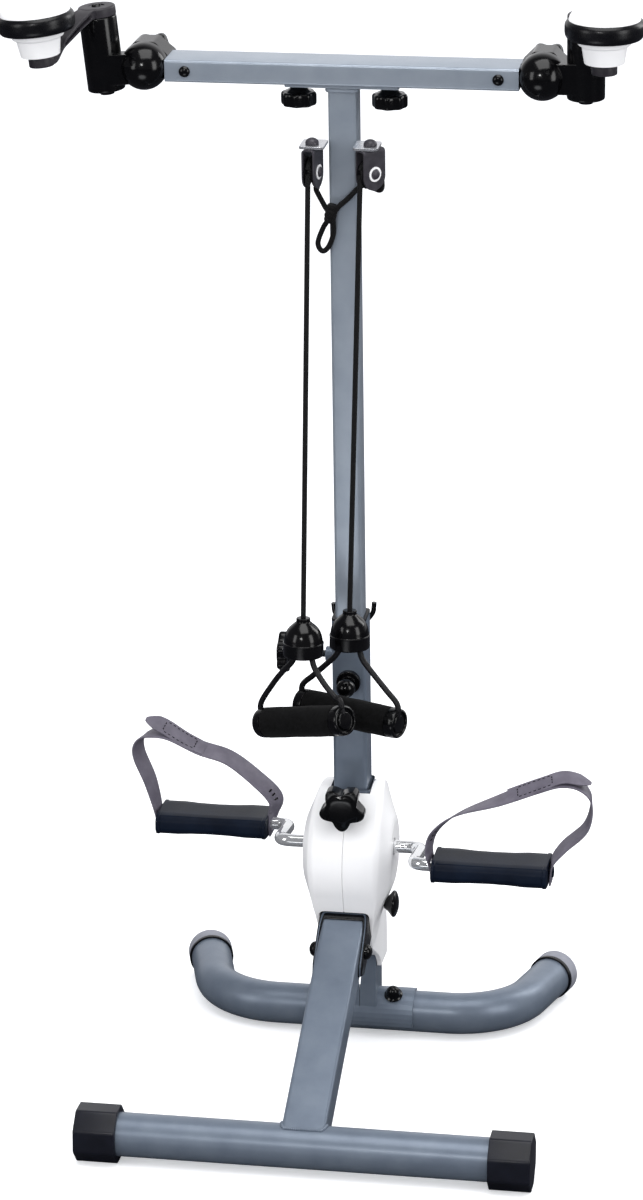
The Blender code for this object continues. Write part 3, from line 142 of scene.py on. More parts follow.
def make(name, grids, body, material, place=BASE, replaces=(), sharp=35, bevel=0.0, wall=0.0):
    """One piece of the scene from grids: merged, turned outwards, finished and put on its body."""
    corners, quads, uvs, count = [], [], [], 0
    for points, faces, uv in grids:
        corners.append(carry(place, points) / 1000)
        quads.append(faces + count)
        uvs.append(uv)
        count += len(points)
    corners, quads, uvs = np.concatenate(corners), np.concatenate(quads), np.concatenate(uvs)
    mesh = bpy.data.meshes.new(name)
    mesh.from_pydata(corners, [], quads.tolist())
    mesh.uv_layers.new(name="UVMap").data.foreach_set("uv", uvs.astype(np.float32).ravel())
    bm = bmesh.new()
    bm.from_mesh(mesh)
    bmesh.ops.remove_doubles(bm, verts=bm.verts, dist=2e-6)
    bmesh.ops.recalc_face_normals(bm, faces=bm.faces)
    bm.to_mesh(mesh)
    bm.free()
    mesh.shade_smooth()
    mesh.set_sharp_from_angle(angle=math.radians(sharp))
    piece = bpy.data.objects.new(name, mesh)
    SCENE.collection.objects.link(piece)
    mesh.materials.append(material)
    if wall:
        sheet = piece.modifiers.new("wall", "SOLIDIFY")
        sheet.thickness = wall / 1000
        sheet.offset = -1
    if bevel:
        edge = piece.modifiers.new("edges", "BEVEL")
        edge.width = bevel / 1000
        edge.segments = 3
        edge.limit_method = "ANGLE"
        edge.angle_limit = math.radians(40)
        edge.harden_normals = True
    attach(piece, body)
    if replaces:
        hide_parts(*replaces)
    return piece


def rounded(points, radius, steps=5, closed=False):
    """A path or outline with its corners rounded: each becomes a curve that starts and ends radius away."""
    points = np.asarray(points, float)
    radii = np.broadcast_to(radius, len(points))
    before, after = np.roll(points, 1, 0), np.roll(points, -1, 0)
    t = np.linspace(0, 1, steps + 1)[:, None]
    made = []
    for p, a, b, r, i in zip(points, before, after, radii, range(len(points))):
        if r <= 0 or (not closed and i in (0, len(points) - 1)):
            made.append(p[None])
            continue
        start = p + (a - p) * min(r / np.linalg.norm(a - p), 0.5)
        end = p + (b - p) * min(r / np.linalg.norm(b - p), 0.5)
        made.append((1 - t) ** 2 * start + 2 * t * (1 - t) * p + t ** 2 * end)
    return np.concatenate(made)


def turn(profile, sides=64, place=np.eye(4), factor=None):
    """A profile of (radius, height) points turned about Z; factor swells the radius at each angle."""
    profile = np.asarray(profile, float)
    angle = np.arange(sides) * 2 * math.pi / sides
    swell = np.ones((len(profile), sides)) if factor is None else factor(angle, profile)
    radius = profile[:, :1] * swell
    height = np.repeat(profile[:, 1:2], sides, 1)
    points = np.stack([radius * np.cos(angle), radius * np.sin(angle), height], 2)
    return grid(carry(place, points.reshape(-1, 3)).reshape(points.shape))


def rectangle(width, depth, radius, steps=4):
    """The outline of a tube's section, with round corners."""
    w, d = width / 2, depth / 2
    return rounded([(w, d), (-w, d), (-w, -d), (w, -d)], radius, steps, closed=True)


def circle(radius, sides=32):
    """The outline of a round bar."""
    angle = np.arange(sides) * 2 * math.pi / sides
    return np.stack([radius * np.cos(angle), radius * np.sin(angle)], 1)


def loft(outlines, heights):
    """A grid through flat outlines, one at each height; both ends are closed to their middle."""
    rows = [np.column_stack([o, np.full(len(o), h)]) for o, h in zip(outlines, heights)]
    first, last = rows[0].mean(0), rows[-1].mean(0)
    return grid(np.stack([np.tile(first, (len(rows[0]), 1)), *rows, np.tile(last, (len(rows[0]), 1))]))


def solid(outline, low, high, place=np.eye(4)):
    """A plate: an outline in its local XY plane, from one height to another."""
    points, faces, uv = loft([outline, outline], [low, high])
    return carry(place, points), faces, uv


def block(width, depth, height, place=np.eye(4), radius=1.0):
    """A rectangular block with its upright edges rounded, centred on its frame."""
    return solid(rectangle(width, depth, radius), -height / 2, height / 2, place)


def square_tube(width, depth, wall, low, high, corner=4.0):
    """A rectangular tube along Z, open at both ends."""
    out, room = rectangle(width, depth, corner), rectangle(width - 2 * wall, depth - 2 * wall, corner - wall)
    levels = [(out, low), (out, high), (room, high), (room, low), (out, low)]
    return grid(np.stack([np.column_stack([o, np.full(len(o), h)]) for o, h in levels]))


def curve_through(points, steps=12):
    """A smooth curve through points, a Catmull-Rom spline: each span bends by the slope of its neighbours."""
    p = np.asarray(points, float)
    p = np.concatenate([2 * p[:1] - p[1:2], p, 2 * p[-1:] - p[-2:-1]])
    a, b, c, d = p[:-3, None], p[1:-2, None], p[2:-1, None], p[3:, None]
    t = np.linspace(0, 1, steps, endpoint=False)[None, :, None]
    bend = 0.5 * (2 * b + (c - a) * t + (2 * a - 5 * b + 4 * c - d) * t ** 2
                  + (3 * b - a - 3 * c + d) * t ** 3)
    return np.concatenate([bend.reshape(-1, p.shape[1]), p[-2:-1]])


def evenly(path, spacing):
    """The same path with its points a fixed length apart."""
    step = np.concatenate([[0], np.cumsum(np.linalg.norm(np.diff(path, axis=0), axis=1))])
    want = np.linspace(0, step[-1], max(2, round(step[-1] / spacing) + 1))
    return np.stack([np.interp(want, step, path[:, k]) for k in range(path.shape[1])], 1)


def sweep(path, section, up=None, scale=None, roll=None, capped=True):
    """A section carried along a path; without up, each frame turns as little as it can from the last."""
    path = np.asarray(path, float)
    along = np.gradient(path, axis=0)
    along /= np.linalg.norm(along, axis=1)[:, None]
    side = np.empty_like(path)
    if up is None:
        last = np.cross(along[0], (0.31, 0.87, 0.38))
        for i, t in enumerate(along):
            last = last - t * (last @ t)
            last /= np.linalg.norm(last)
            side[i] = last
    else:
        side = np.cross(along, up)
        side /= np.linalg.norm(side, axis=1)[:, None]
    over = np.cross(side, along)
    if roll is not None:
        c, s = np.cos(roll)[:, None], np.sin(roll)[:, None]
        side, over = c * side + s * over, c * over - s * side
    size = np.ones((len(path), 1, 1)) if scale is None else np.reshape(scale, (-1, 1, 1))
    section = np.broadcast_to(section, (len(path), *np.shape(section)[-2:]))
    rows = path[:, None] + size * (side[:, None] * section[..., :1] + over[:, None] * section[..., 1:])
    if capped:
        ends = [np.repeat(path[i][None, None], rows.shape[1], 1) for i in (0, -1)]
        rows = np.concatenate([ends[0], rows, ends[1]])
    return grid(rows)

# %% [markdown]
# ## Finishes
# Each material is named for what the real one is. Colours are written as on a paint chart and turned to
# linear light. Patterns read Object coordinates, which here are the world's metres, so a grain of half a
# millimetre is a noise scale of 2000. The rope's braid follows its own UV map, which is in millimetres.

# %% Material helpers


def linear(chart):
    """An sRGB colour such as '7b8592' as linear red, green, blue and alpha."""
    s = np.array([int(chart[i:i + 2], 16) for i in (0, 2, 4)]) / 255
    return (*np.where(s <= 0.04045, s / 12.92, ((s + 0.055) / 1.055) ** 2.4), 1.0)


def add(tree, kind, inputs=None, **settings):
    """One shader node: settings are its own, and inputs are numbers, or sockets to link."""
    made = tree.nodes.new("ShaderNode" + kind)
    for name, value in settings.items():
        setattr(made, name, value)
    for name, value in (inputs or {}).items():
        if isinstance(value, bpy.types.NodeSocket):
            tree.links.new(value, made.inputs[name])
        else:
            made.inputs[name].default_value = value
    return made


def surface(name, dark, light, cloud_mm, grain_mm, depth_mm, rough, **shader):
    """A finish with soft colour clouds between two tones, and a fine grain that bumps and dulls it.

    rough is the lowest and the highest roughness. What remains goes to the shader's own sockets.
    """
    material = bpy.data.materials.new(name)
    material.use_nodes = True
    tree = material.node_tree
    place = add(tree, "TexCoord").outputs["Object"]
    cloud = add(tree, "TexNoise", {"Vector": place, "Scale": 1000 / cloud_mm, "Detail": 4.0})
    grain = add(tree, "TexNoise", {"Vector": place, "Scale": 1000 / grain_mm, "Detail": 2.0})
    tone = add(tree, "ValToRGB", {"Fac": cloud.outputs["Fac"]})
    tone.color_ramp.elements[0].position, tone.color_ramp.elements[0].color = 0.3, linear(dark)
    tone.color_ramp.elements[1].position, tone.color_ramp.elements[1].color = 0.7, linear(light)
    dull = add(tree, "MapRange", {"Value": grain.outputs["Fac"], "From Min": 0.3, "From Max": 0.7,
                                  "To Min": rough[0], "To Max": rough[1]})
    bump = add(tree, "Bump", {"Height": grain.outputs["Fac"], "Distance": depth_mm / 1000, "Strength": 1.0})
    body = tree.nodes["Principled BSDF"]
    for socket, value in (("Base Color", tone.outputs["Color"]), ("Roughness", dull.outputs["Result"]),
                          ("Normal", bump.outputs["Normal"])):
        tree.links.new(value, body.inputs[socket])
    for socket, value in shader.items():
        body.inputs[socket.replace("_", " ")].default_value = value
    return material


# %% [markdown]
# The tubes are steel with a metallic polyester powder coat. Its aluminium flakes give the blue-grey a soft
# sparkle and its skin has a slight orange peel. The bar and the mast have the same coat; they face the light,
# and their paler copy of it is painted light. The receiver's darker copy of it is painted shade.

# %% Paints and metals
FRAME_PAINT = surface("powder_coat_blue_grey", "6b7685", "76818f", 26, 0.8, 0.012, (0.34, 0.46),
                      Metallic=0.45, Coat_Weight=0.25, Coat_Roughness=0.25)
# Painted light: a paler copy of the frame's coat, for the bar and the mast, which face the light.
LIT_FRAME_PAINT = surface("powder_coat_blue_grey_painted_light", "929ca8", "9da6b1", 30, 0.8, 0.012, (0.3, 0.42), Metallic=0.5,
                    Coat_Weight=0.25, Coat_Roughness=0.22)
# Painted shade: a darker copy of the frame's coat, for the receiver, which sits in shade under the housing.
SHADED_FRAME_PAINT = surface("powder_coat_blue_grey_painted_shade", "4f5967", "596371", 20, 0.8, 0.012, (0.36, 0.5),
                     Metallic=0.35)
CHROME = surface("polished_chrome_plate", "e6e8ea", "f0f1f2", 40, 3.0, 0.002, (0.03, 0.06), Metallic=0.75)
ZINC = surface("bright_zinc_plate", "c9cbd0", "dadbde", 6, 0.7, 0.01, (0.22, 0.36), Metallic=0.9)
BLACK_OXIDE = surface("black_oxide_steel", "353339", "434147", 9, 0.5, 0.012, (0.34, 0.48), Metallic=0.25)
MILD_STEEL = surface("turned_mild_steel", "8d8e90", "a09f9d", 9, 0.5, 0.01, (0.3, 0.48), Metallic=1.0)

# %% [markdown]
# The housing and the mushroom grips are white ABS from a lightly sparked mould: satin, with a grain too
# fine to feel. The black pieces come in two finishes: PP and nylon from a polished mould, which mirror the
# lamps, and glass-filled nylon or PVC from an etched mould, whose high spots catch a violet-grey light.

# %% Plastics and rubber
WHITE_ABS = surface("white_abs_satin", "eeeeef", "f4f4f4", 60, 0.5, 0.004, (0.3, 0.38), IOR=1.53)
GLOSS_BLACK = surface("black_nylon_polished", "030304", "070708", 25, 1.6, 0.004, (0.12, 0.2), IOR=1.5,
                      Specular_IOR_Level=0.4)
SATIN_BLACK = surface("black_nylon_etched", "09090c", "100f13", 18, 0.5, 0.02, (0.36, 0.5), IOR=1.5,
                      Specular_IOR_Level=0.35)
CAP_BLACK = surface("black_pvc_cap", "0c0e16", "131520", 22, 0.6, 0.015, (0.3, 0.42), IOR=1.5,
                    Specular_IOR_Level=0.4)
GREY_CAP = surface("weathered_pvc_cap", "7d7f89", "8d8f98", 12, 0.6, 0.03, (0.42, 0.6), IOR=1.5)
CRANK_NYLON = surface("glass_filled_nylon", "1f1c22", "2b282e", 20, 0.5, 0.03, (0.38, 0.52), IOR=1.5)
PEDAL_PP = surface("blue_black_polypropylene", "080f1c", "0e1726", 28, 0.6, 0.02, (0.3, 0.44), IOR=1.49,
                   Specular_IOR_Level=0.1)
RING_RUBBER = surface("black_tpr_rubber", "040407", "09090d", 14, 0.9, 0.01, (0.24, 0.36), IOR=1.52,
                      Specular_IOR_Level=0.35)


# %% [markdown]
# The foam grips are closed-cell EVA: a skin of burst bubbles that scatters light, so it has no highlight.
# The rope is a braid of black polyester: strands cross its face in two slants. The straps are PVC with a
# leather grain on a woven back. Only the rope's pattern is laid along its piece.

# %% Soft finishes


def add_pattern(material, height, depth_mm):
    """Lays another bump over a surface() material, before its grain."""
    tree = material.node_tree
    under = add(tree, "Bump", {"Height": height, "Distance": depth_mm / 1000})
    grain = next(n for n in tree.nodes if n.type == "BUMP" and n != under)
    tree.links.new(under.outputs["Normal"], grain.inputs["Normal"])
    return material


FOAM = surface("eva_foam_black", "040404", "0c0c0d", 5, 0.9, 0.25, (0.85, 0.98), IOR=1.4,
               Specular_IOR_Level=0.15, Sheen_Weight=0.03)
STRAP_PVC = surface("leather_grain_pvc", "55515d", "66626e", 15, 0.9, 0.05, (0.4, 0.55), IOR=1.5)
ROPE = surface("braided_polyester_black", "050506", "0d0d0f", 4, 0.4, 0.03, (0.55, 0.75),
               Specular_IOR_Level=0.25, Sheen_Weight=0.03)
STRAND_MM = 2.4
rope_tree = ROPE.node_tree
rope_uv = add(rope_tree, "UVMap", uv_map="UVMap").outputs["UV"]
slants = []
for slant in (55, -55):
    turned_uv = add(rope_tree, "Mapping", {"Vector": rope_uv, "Rotation": (0, 0, math.radians(slant))})
    strands = {"Vector": turned_uv.outputs["Vector"], "Scale": 0.31416 / STRAND_MM}
    slants.append(add(rope_tree, "TexWave", strands, wave_profile="SIN").outputs["Fac"])
crossed = add(rope_tree, "Math", {0: slants[0], 1: slants[1]}, operation="MAXIMUM")
add_pattern(ROPE, crossed.outputs["Value"], 0.5)
print("materials:", len(bpy.data.materials))

# %% [markdown]
# # The frame
# ## Floor tubes
# Two steel tubes of 50 mm stand on plastic caps. The front one is straight, the rear one is bent round a
# die: a straight middle, an arc of 75 degrees and a short tail. A circle swept along that line makes it.

# %% Floor tubes
TUBE_R = 25.0
TUBE_WALL = 2.0
FRONT_Y, FRONT_Z = -339.0, 31.0
FRONT_HALF = 259.0
CAP_WALL = 3.0
front_reach = FRONT_HALF - CAP_WALL - GAP
front_profile = [(TUBE_R, front_reach), (TUBE_R, -front_reach), (TUBE_R - TUBE_WALL, -front_reach),
                 (TUBE_R - TUBE_WALL, front_reach), (TUBE_R, front_reach)]
make("floor_tube_front", [turn(front_profile, 96, AIM["X"])], "frame", FRAME_PAINT,
     BASE @ shift(0, FRONT_Y, FRONT_Z), ["front_floor_tube"])

REAR_Y, REAR_Z = 84.0, 28.5
REAR_STRAIGHT, BEND_R, BEND, REAR_TAIL = 105.0, 95.0, math.radians(75), 88.0


def rear_line():
    """The rear tube's middle: half of it is worked out, and the other half is its mirror image."""
    a = np.linspace(0, BEND, 26)
    x, y = REAR_STRAIGHT + BEND_R * np.sin(a), REAR_Y + BEND_R * (1 - np.cos(a))
    x = np.concatenate([[0], x, [x[-1] + REAR_TAIL * math.cos(BEND)]])
    y = np.concatenate([[REAR_Y], y, [y[-1] + REAR_TAIL * math.sin(BEND)]])
    half = np.column_stack([x, y, np.full(len(x), REAR_Z)])
    return np.concatenate([half[:0:-1] * (-1, 1, 1), half])


rear = rear_line()
make("floor_tube_rear", [sweep(rear, circle(TUBE_R, 72), up=(0, 0, 1))], "frame", FRAME_PAINT, BASE,
     ["rear_floor_tube"])
print("rear tube length:", round(np.linalg.norm(np.diff(rear, axis=0), axis=1).sum()), "mm")

# %% [markdown]
# ## End caps
# A front cap is an eight-sided cup. It is turned like a knob, but its radius swells towards each corner: in
# a polygon the radius is the distance to a flat over the cosine of the angle from that flat's middle. The
# bore stays round. A mould leaves the corners slightly soft, so the swelling is cut off just before them.
# The rear caps are the same cup without the swelling, and a rubber seal closes each.

# %% End caps


def eight_sided(angle, profile):
    """1 on the bore, and an octagon with soft corners where the third column says so."""
    off = (angle + math.pi / 8) % (math.pi / 4) - math.pi / 8
    corner = np.minimum(1 / np.cos(off), 1.068)
    return 1 + profile[:, 2:3] * (corner - 1)


def looking(out, at):
    """A place in the base frame whose Z looks along a level direction."""
    stand = np.eye(4)
    stand[:3, 2], stand[:3, 1], stand[:3, 3] = out, (0, 0, 1), at
    stand[:3, 0] = np.cross(stand[:3, 1], stand[:3, 2])
    return BASE @ stand


def end_cap(name, across, length, face, out, material, node, sides=eight_sided):
    """A cap whose closed end has its middle at face and looks along out."""
    a, bore = across / 2, TUBE_R + GAP
    line = rounded([(0, 0, 1), (a, 0, 1), (a, -length, 1), (bore + 0.6, -length, 0), (bore, -length + 1.2, 0),
                    (bore, -CAP_WALL, 0), (0, -CAP_WALL, 0)], [0, 1.6, 1.0, 0.5, 0.5, 0, 0], 4)
    make(name, [turn(line, 160, factor=sides)], "frame", material, looking(out, face), [node], sharp=28)


REAR_CAP = 20.0
for side, word in SIDES:
    end_cap("cap_front_" + word, 62.0, 48.0, (side * FRONT_HALF, FRONT_Y, FRONT_Z), (side, 0, 0), CAP_BLACK,
            "front_cap_" + word)
    out = np.array((side * math.cos(BEND), math.sin(BEND), 0))
    tip = np.array((side * rear[-1, 0], rear[-1, 1], REAR_Z)) + out * (CAP_WALL + GAP)
    end_cap("cap_rear_" + word, 55.0, REAR_CAP, tip, out, GREY_CAP, "rear_cap_" + word,
            sides=None)
    seal = turn([(25.2, 0), (27.5, 0), (27.5, -4.5), (27, -5), (25.2, -5), (25.2, 0)], 72, AIM["Z"])
    make("cap_seal_" + word, [seal], "frame", RING_RUBBER, looking(out, tip - out * REAR_CAP))

# %% [markdown]
# ## Main beam and its receiver
# The beam is a rectangular tube. Its upper end sits in a bent plate, the receiver, and its lower end is cut
# to the round of the front tube and welded there. Each point of the lower rim is moved along the beam until
# it meets that round, which is the cope that a tube notcher would cut.

# %% Beam
BEAM_W, BEAM_H, BEAM_SLOPE = 50.0, 40.0, 27.1
BEAM_TOP_FRONT_Z, BEAM_END_Y = 58.6, -54.0
slope = math.radians(BEAM_SLOPE)
beam_top_z = BEAM_TOP_FRONT_Z + (BEAM_END_Y - FRONT_Y) * math.tan(slope)
BEAM = (BASE @ shift(0, BEAM_END_Y + BEAM_H / 2 * math.sin(slope), beam_top_z - BEAM_H / 2 * math.cos(slope))
        @ spin("X", BEAM_SLOPE - 90))
axis_y, axis_z = (np.linalg.inv(BEAM) @ BASE @ np.array((0, FRONT_Y, FRONT_Z, 1)))[1:3]


def coped(outline):
    """The outline as a rim that rests on the front tube."""
    rise = np.sqrt(np.maximum((TUBE_R + GAP) ** 2 - (outline[:, 1] - axis_y) ** 2, 0))
    return np.column_stack([outline, axis_z + rise])


BEAM_REACH = 16.0
skin = rectangle(BEAM_W, BEAM_H, 5.0, 6)
room = rectangle(BEAM_W - 4, BEAM_H - 4, 3.0, 6)
rows = [coped(skin), np.column_stack([skin, np.full(len(skin), BEAM_REACH)]),
        np.column_stack([room, np.full(len(room), BEAM_REACH)]),
        coped(room), coped(skin)]
make("beam_tube", [grid(np.stack(rows))], "frame", FRAME_PAINT, BEAM, ["main_beam"])


def weld_bead(name, path, radius, material, place, ripple=2.2):
    """A fillet of weld along a seam: its thickness swells and sinks once in each ripple."""
    path = evenly(path, 0.7)
    beat = np.arange(len(path)) * 0.7 / ripple
    return make(name, [sweep(path, circle(radius, 10), scale=1 + 0.13 * np.sin(2 * math.pi * beat))], "frame",
                material, place)


bead = coped(rectangle(BEAM_W + 1, BEAM_H + 1, 5.0, 6)) + (0, 0, 0.8)
upper = bead[bead[:, 1] < 19.0]
order = np.argsort(np.arctan2(upper[:, 0], -upper[:, 1]))
weld_bead("weld_beam_foot", upper[order], 1.9, FRAME_PAINT, BEAM)

# %% [markdown]
# The receiver wraps the beam's end from three sides. Its painted edge stands between two dark lines, which
# are painted shade: the shadow gaps against the beam and against the housing, drawn as thin black sheets. All
# three are one shape at three distances from the beam: a grid whose columns run round the beam and whose rows
# run along it.

# %% Receiver
CHEEK_LIFT = np.array((-20, -4, 6, 20, 23.3))
CHEEK_BACK = np.array((60, 78, 70, 18, 2.0))


def wrap(offset, behind, shorter):
    """A band round the beam's end, from behind it to the slanted edges of its cheeks."""
    r = BEAM_W / 2 + offset
    line = rounded([(-r, BEAM_H / 2), (-r, -BEAM_H / 2 - offset), (r, -BEAM_H / 2 - offset), (r, BEAM_H / 2)],
                   [0, 3 + offset, 3 + offset, 0], 8)
    line = evenly(line, 1.5)
    front = -np.interp(-line[:, 1], CHEEK_LIFT, CHEEK_BACK) + shorter
    rows = np.linspace(0, 1, 6)[:, None]
    z = behind * (1 - rows) + front * rows
    points = np.stack([np.broadcast_to(line[:, 0], z.shape), np.broadcast_to(line[:, 1], z.shape), z], 2)
    return grid(points, wrap=False)


# Painted shade: a thin black sheet inside the plate stands for the shadow gap against the beam.
make("receiver_inner_shadow_gap", [wrap(1.3, BEAM_REACH, -0.8)], "frame", RING_RUBBER, BEAM, wall=1.0)
make("receiver_plate", [wrap(2.9, BEAM_REACH + 3, 0)], "frame", SHADED_FRAME_PAINT, BEAM, ["beam_receiver"],
     wall=1.6, bevel=0.3)
# Painted shade: a thin black sheet outside the plate stands for the shadow gap against the housing.
make("receiver_outer_shadow_gap", [wrap(4.1, BEAM_REACH + 3, 1.0)], "frame", RING_RUBBER, BEAM, wall=1.2)
end_wall = block(2 * 28.2, 44, 3.0, shift(0, 0.6, BEAM_REACH + 1.6), 6)
make("receiver_end", [end_wall], "frame", SHADED_FRAME_PAINT, BEAM)

# %% [markdown]
# ## Bolts
# Every screw that shows has a black domed cap over its nut. A cap with a flange is a washer, a six-sided
# band for the spanner and a dome; the radius of the band swells as the end cap's did, with six corners.

# %% Bolts


def six_sided(angle, profile):
    """1 on the round parts, and a hexagon where the third column says so."""
    off = (angle + math.pi / 6) % (math.pi / 3) - math.pi / 6
    return 1 + profile[:, 2:3] * (1 / np.cos(off) - 1)


def dome(radius, height, foot, sides=40):
    """A plain domed cap that stands on z = foot: a quarter ellipse from its rim to its top."""
    a = np.linspace(math.pi / 2, 0, 10)
    line = np.column_stack([radius * np.cos(a), foot + 1.2 + (height - 1.2) * np.sin(a)])
    return turn(np.concatenate([line, [(radius, foot), (0, foot)]]), sides)


def cap_nut(foot, place=np.eye(4), wide=11.0, across=8.6, tall=14.0):
    """A flanged cap nut: washer face, spanner flats and dome."""
    a = np.linspace(math.pi / 2, 0.25, 9)
    r = across * 0.92
    top = [(r * math.cos(t), foot + tall - r + r * math.sin(t), 0) for t in a]
    flats = [(across, foot + tall - r - 1, 1), (across, foot + 3.4, 1), (across + 0.6, foot + 2.8, 0)]
    washer = [(wide - 0.8, foot + 2.2, 0), (wide, foot + 1.4, 0), (wide, foot + 0.3, 0),
              (wide - 0.4, foot, 0)]
    return turn([*top, *flats, *washer, (0, foot, 0)], 72, place, six_sided)


BOLT_TURN = spin("X", 30)
SADDLE_X, SADDLE_FOOT = 40.0, 28.6
for side, word in SIDES:
    shank = turn([(4, SADDLE_FOOT), (4, 17), (0, 17)], 24)
    make("saddle_nut_" + word, [cap_nut(SADDLE_FOOT), shank], "frame", GLOSS_BLACK,
         BASE @ shift(side * SADDLE_X, REAR_Y, REAR_Z) @ BOLT_TURN, ["saddle_bolt_" + word],
         sharp=25)
BOLT_BACK = 42.0
bolt_ends = []
for aim in ("X", "-X"):
    points, faces, uv = dome(9, 8, BEAM_W / 2 + 4.4)
    bolt_ends.append((carry(AIM[aim], points), faces, uv))
bolt_ends.append(turn([(0, 28), (4, 28), (4, -28), (0, -28)], 24, AIM["X"]))
make("receiver_bolt", bolt_ends, "frame", GLOSS_BLACK, BEAM @ shift(0, 0, -BOLT_BACK), ["beam_bolt"])

# %% [markdown]
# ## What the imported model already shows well
# Flat welded plates need no finer mesh, and the drive inside the housing is never seen. These nodes keep
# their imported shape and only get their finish.

# %% Dressed nodes


def dress(node, material):
    """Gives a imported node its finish."""
    slots = NODES[node].data.materials
    slots.clear()
    slots.append(material)


for node, material in (("sleeve_bush", SATIN_BLACK), ("drive_belt", RING_RUBBER),
                       ("belt_wheel", SATIN_BLACK), ("flywheel", MILD_STEEL), ("brake_arm", MILD_STEEL)):
    dress(node, material)

# %% [markdown]
# The welded spine carries a socket for the sleeve. The photograph shows no steel above the housing, so the
# socket is trimmed to the housing's surface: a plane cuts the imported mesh, and the open rims are filled.

# %% Spine
SOCKET_TRIM = 348.0
spine = bmesh.new()
spine.from_mesh(NODES["spine"].data)
spine.transform(NODES["spine"].matrix_world)
everything = [*spine.verts, *spine.edges, *spine.faces]
bmesh.ops.bisect_plane(spine, geom=everything, plane_co=carry(MAST, [(0, 0, SOCKET_TRIM)])[0] / 1000,
                       plane_no=MAST[:3, 2], clear_outer=True)
rims = [edge for edge in spine.edges if edge.is_boundary]
bmesh.ops.holes_fill(spine, edges=rims)
spine_mesh = bpy.data.meshes.new("spine_weldment")
spine.to_mesh(spine_mesh)
spine.free()
spine_mesh.materials.append(FRAME_PAINT)
weldment = bpy.data.objects.new("spine_weldment", spine_mesh)
SCENE.collection.objects.link(weldment)
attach(weldment, "frame")
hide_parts("spine")

# %% [markdown]
# # The housing
# Two moulded halves meet on the middle plane. Seen from the side, a half is a disc of 84 mm radius with a
# leg that runs down to the rear tube. Seen from the front, it is a lens: a band of even width at the rim,
# then a slanting face, then a round plateau where the crank comes out. So its half width is the smaller of
# two slopes: one falls with the distance from the crank's middle, the other rises with the distance from
# the rim. The grid's rows run from the seam over the rim to the hole round the crank.

# %% Housing halves
HOUSE_Y, HOUSE_Z, HOUSE_R = 8.0, 262.0, 84.0
BULGE = np.array((-6.0, 268.0))
CRANK_Y, CRANK_Z = -14.0, 276.0
RIM_HALF, SHELL_WALL = 36.0, 2.6
FLAT_R, EYE_R = 34.0, 10.5
LEG = [(-58, 200), (-46, 176), (-20, 150), (18, 128), (48, 112), (61, 100), (64, 92), (112, 92), (110, 130),
       (100, 170), (86, 196)]
SLANT_AT = np.array((0, 36, 42, 62, 84, 125, 400.0))
SLANT_HALF = np.array((52.5, 52.5, 51, 43, 35, 26, 26.0))
RIM_ROUND = 2.2


def shell_rim(inset):
    """The outline of a half from the side, drawn in by inset."""
    a = np.radians(np.linspace(-38, 205, 90))
    disc = np.column_stack([HOUSE_Y + HOUSE_R * np.cos(a), HOUSE_Z + HOUSE_R * np.sin(a)])
    soft = [0] * len(disc) + [14, 16, 20, 20, 8, 4, 3, 5, 16, 20, 10]
    line = rounded(np.concatenate([disc, LEG]), soft, 5, closed=True)
    line = evenly(np.concatenate([line, line[:1]]), 2.2)[:-1]
    along = np.roll(line, -1, 0) - np.roll(line, 1, 0)
    along /= np.linalg.norm(along, axis=1)[:, None]
    return line + np.column_stack([-along[:, 1], along[:, 0]]) * inset


def shell_half_width(points, rim):
    """Half width from the two slopes, blended where they meet, and rounded off at the rim."""
    to_rim = np.linalg.norm(points[:, :, None] - rim[None, None], axis=3).min(2)
    slant = np.interp(np.linalg.norm(points - BULGE, axis=-1), SLANT_AT, SLANT_HALF)
    rise = RIM_HALF + 1.1 * to_rim
    soft = 0.35
    width = -soft * np.logaddexp(-slant / soft, -rise / soft)
    d = np.clip(RIM_ROUND - to_rim, 0, RIM_ROUND)
    return width - (RIM_ROUND - np.sqrt(RIM_ROUND ** 2 - d ** 2))


def shell_skin(side, inset):
    """One skin of a half, from the seam over the rim to the hole round the crank."""
    rim = shell_rim(inset)
    out = rim - BULGE
    reach = np.linalg.norm(out, axis=1)
    steps = np.concatenate([np.linspace(0, 0.06, 9), np.linspace(0.09, 1, 34)])[:, None]
    inner = BULGE + out / reach[:, None] * FLAT_R
    flat = rim[None] + (inner - rim)[None] * steps[:, :, None]
    width = shell_half_width(flat, rim) - inset
    face = np.concatenate([width[:, :, None] * side, flat], 2)
    seam = np.stack([np.column_stack([np.full(len(rim), side * x), BULGE + out * (1 - drop / reach[:, None])])
                     for x, drop in ((GAP / 2, 0.7 - 0.7 * bool(inset)), (0.8, 0), (RIM_HALF / 3, 0))])
    turns = out / reach[:, None]
    eye = np.array((CRANK_Y, CRANK_Z)) + turns * EYE_R
    eye = np.column_stack([np.full(len(rim), side * (SLANT_HALF[0] - inset)), eye])
    return np.concatenate([seam, face, eye[None]])


def housing_half(side, word):
    """Outer and inner skins joined at the seam and at the hole; the caller then cuts it for what passes
    through.
    """
    outer, inner = shell_skin(side, 0), shell_skin(side, SHELL_WALL)
    piece = make("housing_shell_" + word, [grid(np.concatenate([outer, inner[::-1], outer[:1]]))], "frame",
                 WHITE_ABS, BASE, ["housing_" + word], sharp=24)
    return piece


def cut(piece, cutters):
    """Cuts closed blocks out of a piece and keeps the result as its mesh."""
    for number, (grids, place) in enumerate(cutters):
        tool = make("cutter_%d" % number, grids, "frame", WHITE_ABS, place)
        step = piece.modifiers.new("cut_%d" % number, "BOOLEAN")
        step.object = tool
        step.solver = "MANIFOLD"
    bpy.context.view_layer.update()
    done = bpy.data.meshes.new_from_object(piece.evaluated_get(bpy.context.evaluated_depsgraph_get()))
    for step in piece.modifiers:
        bpy.data.objects.remove(step.object)
    piece.modifiers.clear()
    piece.data = done
    done.set_sharp_from_angle(angle=math.radians(24))
    return piece


